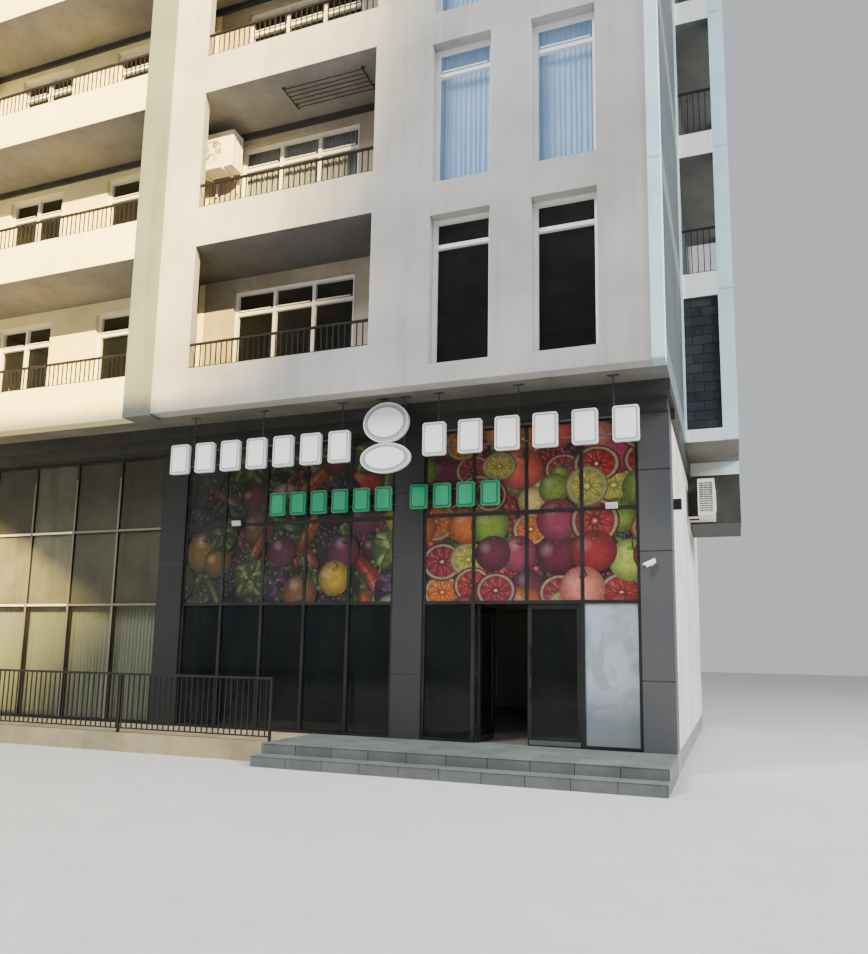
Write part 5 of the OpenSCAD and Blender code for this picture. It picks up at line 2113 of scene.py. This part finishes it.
@dataclass
class FrontFittings(Assembly):
    """Floodlights on the shopfront's upper transom, the round camera and a junction box.

    Args:
        floods: Distances of the floodlights from the corner.
        flood: Width, depth and height of a floodlight.
        fins: Cooling fins at its back.
        camera: Place of the camera's foot, from the corner.
        aim: Way that the camera looks.
        box: Distances of the junction box behind the front, its heights, and how far it stands out.
        skim: Thickness of the dark skim coat under the lowest side balcony, which is painted shade.
    """

    floods: tuple[float, ...] = (-8.186, -0.997)
    flood: Place = (0.19, 0.05, 0.1)
    fins: int = 5
    camera: Place = (-0.39, 1.394, 3.27)
    aim: Place = (-0.75, -0.5, -0.42)
    box: tuple[Span, Span, float] = ((1.93, 1.99), (4.22, 4.4), 0.135)
    skim: float = 4 * MM

    def build(self) -> None:
        """Makes the fittings, and skims the underside of the lowest side balcony with painted shade."""
        self.hang_floodlights()
        self.fix_camera()
        # The skim under the lowest side balcony is painted shade on its underside.
        low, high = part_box("side_balconies")
        skim = Piece("side_bay_soffit_shade", BAY_SOFFIT_SHADE)
        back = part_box("side_bay_lower")[0].y - MM
        skim.block((low.x + MM, low.y, low.z - self.skim), (high.x, back, low.z - MM / 2))
        skim.place()
        box = Piece("junction_box", RAIL_PAINT)
        x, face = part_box("ground_side_wall")[1].x, self.site.face_y
        (near, far), (foot, top), reach = self.box
        box.block((x, face + near, foot), (x + reach, face + far, top), 5 * MM)
        lid = (x + 0.02, face + near - 5 * MM, foot + 0.02)
        box.block(lid, (x + reach - 0.02, face + near, top - 0.02), 2 * MM)
        box.place()

    def hang_floodlights(self) -> None:
        """Fixes the floodlights on short brackets, tilted towards the ground."""
        low, _ = self.site.solids("shopfront_glass_left")[2]
        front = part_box("shopfront_frame_left")[0].y
        piece = Piece("floodlights", CASE_ENAMEL, RAIL_PAINT, LAMP_GLASS)
        width, depth, height = self.flood
        parts = [
            ((0.0, 0.0, 0.0), self.flood, 0, 6 * MM),
            ((0.0, -depth / 2 - 0.002, 0.0), (width * 0.86, 0.006, height * 0.8), 2, 0.0),
        ]
        for i in range(self.fins):
            shift = ((i - (self.fins - 1) / 2) * width / (self.fins + 1), depth / 2 + 0.008, 0.0)
            parts.append((shift, (0.006, 0.02, height * 0.8), 0, 0.0))
        for x in self.floods:
            foot = Vector((self.site.corner_x + x, front, low.z - 0.03))
            near, far = foot + Vector((-0.02, -0.07, -0.015)), foot + Vector((0.02, 0.0, 0.015))
            piece.block(near, far, 3 * MM, finish=1)
            tilt = Matrix.Translation(foot + Vector((0.0, -0.09, 0.02))) @ Matrix.Rotation(0.35, 4, "X")
            for shift, size, finish, bevel in parts:
                piece.cube(tilt @ Matrix.Translation(shift) @ scaled(*size), finish=finish, bevel=bevel)
        piece.place()

    def fix_camera(self) -> None:
        """Fixes the camera on its arm, looking along the front."""
        piece = Piece("bullet_camera", CASE_ENAMEL, FAN_PLASTIC)
        foot = self.site.at(*self.camera)
        elbow = foot + Vector((0.0, -0.07, 0.0))
        piece.disc(foot, Facing.FRONT, (0.045, 0.045), 0.016, sides=24, bevel=4 * MM)
        piece.tube(foot, elbow, 0.016, sides=12)
        aim, up = Vector(self.aim).normalized(), Vector((0, 0, 0.03))
        back, front = elbow - aim * 0.07, elbow + aim * 0.12
        piece.tube(back, front, 0.036, sides=24)
        piece.tube(front, front + aim * 0.012, 0.03, sides=24, finish=1)
        piece.tube(back + up, front + aim * 0.03 + up, 0.022, sides=16)
        piece.place()


@dataclass
class DoorFittings(Assembly):
    """Kick plates and lock cases of the entrance leaves.

    Args:
        stile: Width of a leaf's stiles.
        rail: Height of a leaf's bottom rail.
        leaf: Thickness of a leaf.
        past: How far a kick plate reaches past the glass.
        lock: Height of the lock's middle above the leaf's foot.
        case: Half width and half height of a lock case.
        slot: Half width and half height of the dark slot on it.
        thick: Thickness of a plate.
    """

    stile: float = 0.075
    rail: float = 0.11
    leaf: float = 0.05
    past: float = 0.05
    lock: float = 1.02
    case: Span = (0.016, 0.09)
    slot: Span = (0.006, 0.02)
    thick: float = 3 * MM

    def build(self) -> None:
        """Fits both faces of both leaves; each piece rides on its own leaf."""
        for side in ("left", "right"):
            low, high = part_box(f"door_{side}_glass")
            along = int(high.x - low.x < high.y - low.y)
            across = 1 - along
            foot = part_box(f"door_{side}_leaf")[0].z
            middle, lock = (low[across] + high[across]) / 2, foot + self.lock
            free = high[along] + self.stile / 2 if side == "left" else low[along] - self.stile / 2
            kick = (low[along] - self.past, high[along] + self.past)
            plates = [(kick, (foot + 0.015, foot + self.rail - 0.02), 0)]
            for finish, (wide, tall) in enumerate((self.case, self.slot)):
                plates.append(((free - wide, free + wide), (lock - tall, lock + tall), finish))
            piece = Piece(f"door_{side}_fittings", BRUSHED_STEEL, RUBBER, body=f"door_{side}")
            for out in (-1, 1):
                face = middle + out * self.leaf / 2
                for width, level, finish in plates:
                    depths = sorted((face, face + out * (self.thick + finish * MM)))
                    piece.slab(along, width, depths, level, MM, finish=finish)
            piece.place()


@dataclass
class WingGlazingCaps(Assembly):
    """Caps on the posts and transoms of the wing's glazing, and the film behind its upper panes.

    Args:
        width: Width of a cap.
        thick: Its thickness.
        edge: Rounding of its edges.
        stop: Height at which the post caps stop and the black posts show: the bare black above is painted
            shade under the overhang.
        film_light_shade_tones: Brightness of the film on each column's middle and top pane, from the left:
            painted light and shade, bright on the sunlit left columns and dark in the shade to the right.
        film: Distances of the film's two faces behind the glass.
        pale: How many columns, from the left, have cream caps on their transoms: painted light, cream where
            the sun falls and bronze in the shade.
    """

    width: float = 0.046
    thick: float = 0.006
    edge: float = 2 * MM
    stop: float = 5.35
    film_light_shade_tones: tuple[Span, ...] = ((1.35, 0.7), (1.35, 0.42), (1.2, 0.75), (0.5, 0.42), (0.42, 0.34))
    film: Span = (1 * MM, 3 * MM)
    pale: int = 3

    def build(self) -> None:
        """Caps every post and both transoms, and sticks the film to the upper panes."""
        panes = self.site.solids("wing_shopfront_glass")
        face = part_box("wing_shopfront_frame")[0].y
        front, half = face - self.thick, self.width / 2
        lefts, rights = (sorted({round(b[i].x, 4) for b in panes}) for i in (0, 1))
        feet, tops = (sorted({round(b[i].z, 4) for b in panes}) for i in (0, 1))
        foot = min(b[0].z for b in panes)
        piece = Piece("wing_glazing_caps", BRONZE_CAP, CREAM_CAP)
        # The caps stop where the overhang's shadow starts; the bare black post above it is painted shade.
        for right, left in zip(rights, lefts[1:]):
            x = (left + right) / 2
            piece.block((x - half, front, foot), (x + half, face, self.stop), self.edge)
        for top, bottom in zip(tops[:-1], feet[1:]):
            z = (top + bottom) / 2
            for column, (left, right) in enumerate(zip(lefts, rights)):
                # Cream caps on the sunlit left columns, bronze on the rest: painted light and shade.
                finish = int(column < self.pale)
                piece.block((left, front, z - half), (right, face, z + half), self.edge, finish=finish)
        piece.place()
        film = Piece("wing_pane_film", BACKING_FILM)
        near, far = self.film
        for number, (low, high) in enumerate(panes):
            column, row = divmod(number, 3)
            if row:
                # Each pane's film tone is painted light and shade.
                tone = self.film_light_shade_tones[column][row - 1]
                film.block((low.x, high.y + near, low.z), (high.x, high.y + far, high.z), tone=tone)
        film.place()


def dress_frame(site: Site) -> None:
    """Gives every node of the frame its finish.

    Args:
        site: The frame and its main lines.
    """
    for finish, names in FRAME_FINISHES:
        for name in names.split():
            for slot in site.nodes[name].material_slots:
                slot.material = finish.material()
            log.info("%s: %s", name, finish.name)


def main() -> None:
    """Builds the scene round the frame."""
    logging.basicConfig(level=logging.INFO, format="%(name)s: %(message)s")
    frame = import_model()
    site = Site.read(frame["nodes"])
    Studio().build()
    dress_frame(site)
    assemblies: list[Assembly] = [
        EntranceSteps(site),
        ColumnCladding(site),
        SignFaces(site),
        WindowSashes(site, "front_window_frames", Facing.FRONT),
        WindowSashes(site, "rear_window_frames", Facing.REAR),
        WindowSashes(site, "side_door_frames", Facing.END),
        LoggiaCeilings(site),
        Curtains(site),
        # The last pair of numbers is each film's painted shade at its left and right end.
        ShopFilm(site, "shopfront_glass_right", FRUIT, "#1c1418", 4, (0.75, 0.85)),
        ShopFilm(site, "shopfront_glass_left", VEGETABLES, "#1a1418", 9, (0.12, 0.6), pitch=0.6),
        PosterFilm(site),
        BlockCourses(site),
        OutdoorUnitFans(site),
        CeilingLights(site),
        DryingRack(site),
        FrontFittings(site),
        DoorFittings(site),
        WingGlazingCaps(site),
    ]
    for assembly in assemblies:
        assembly.build()


if __name__ == "__main__":
    main()
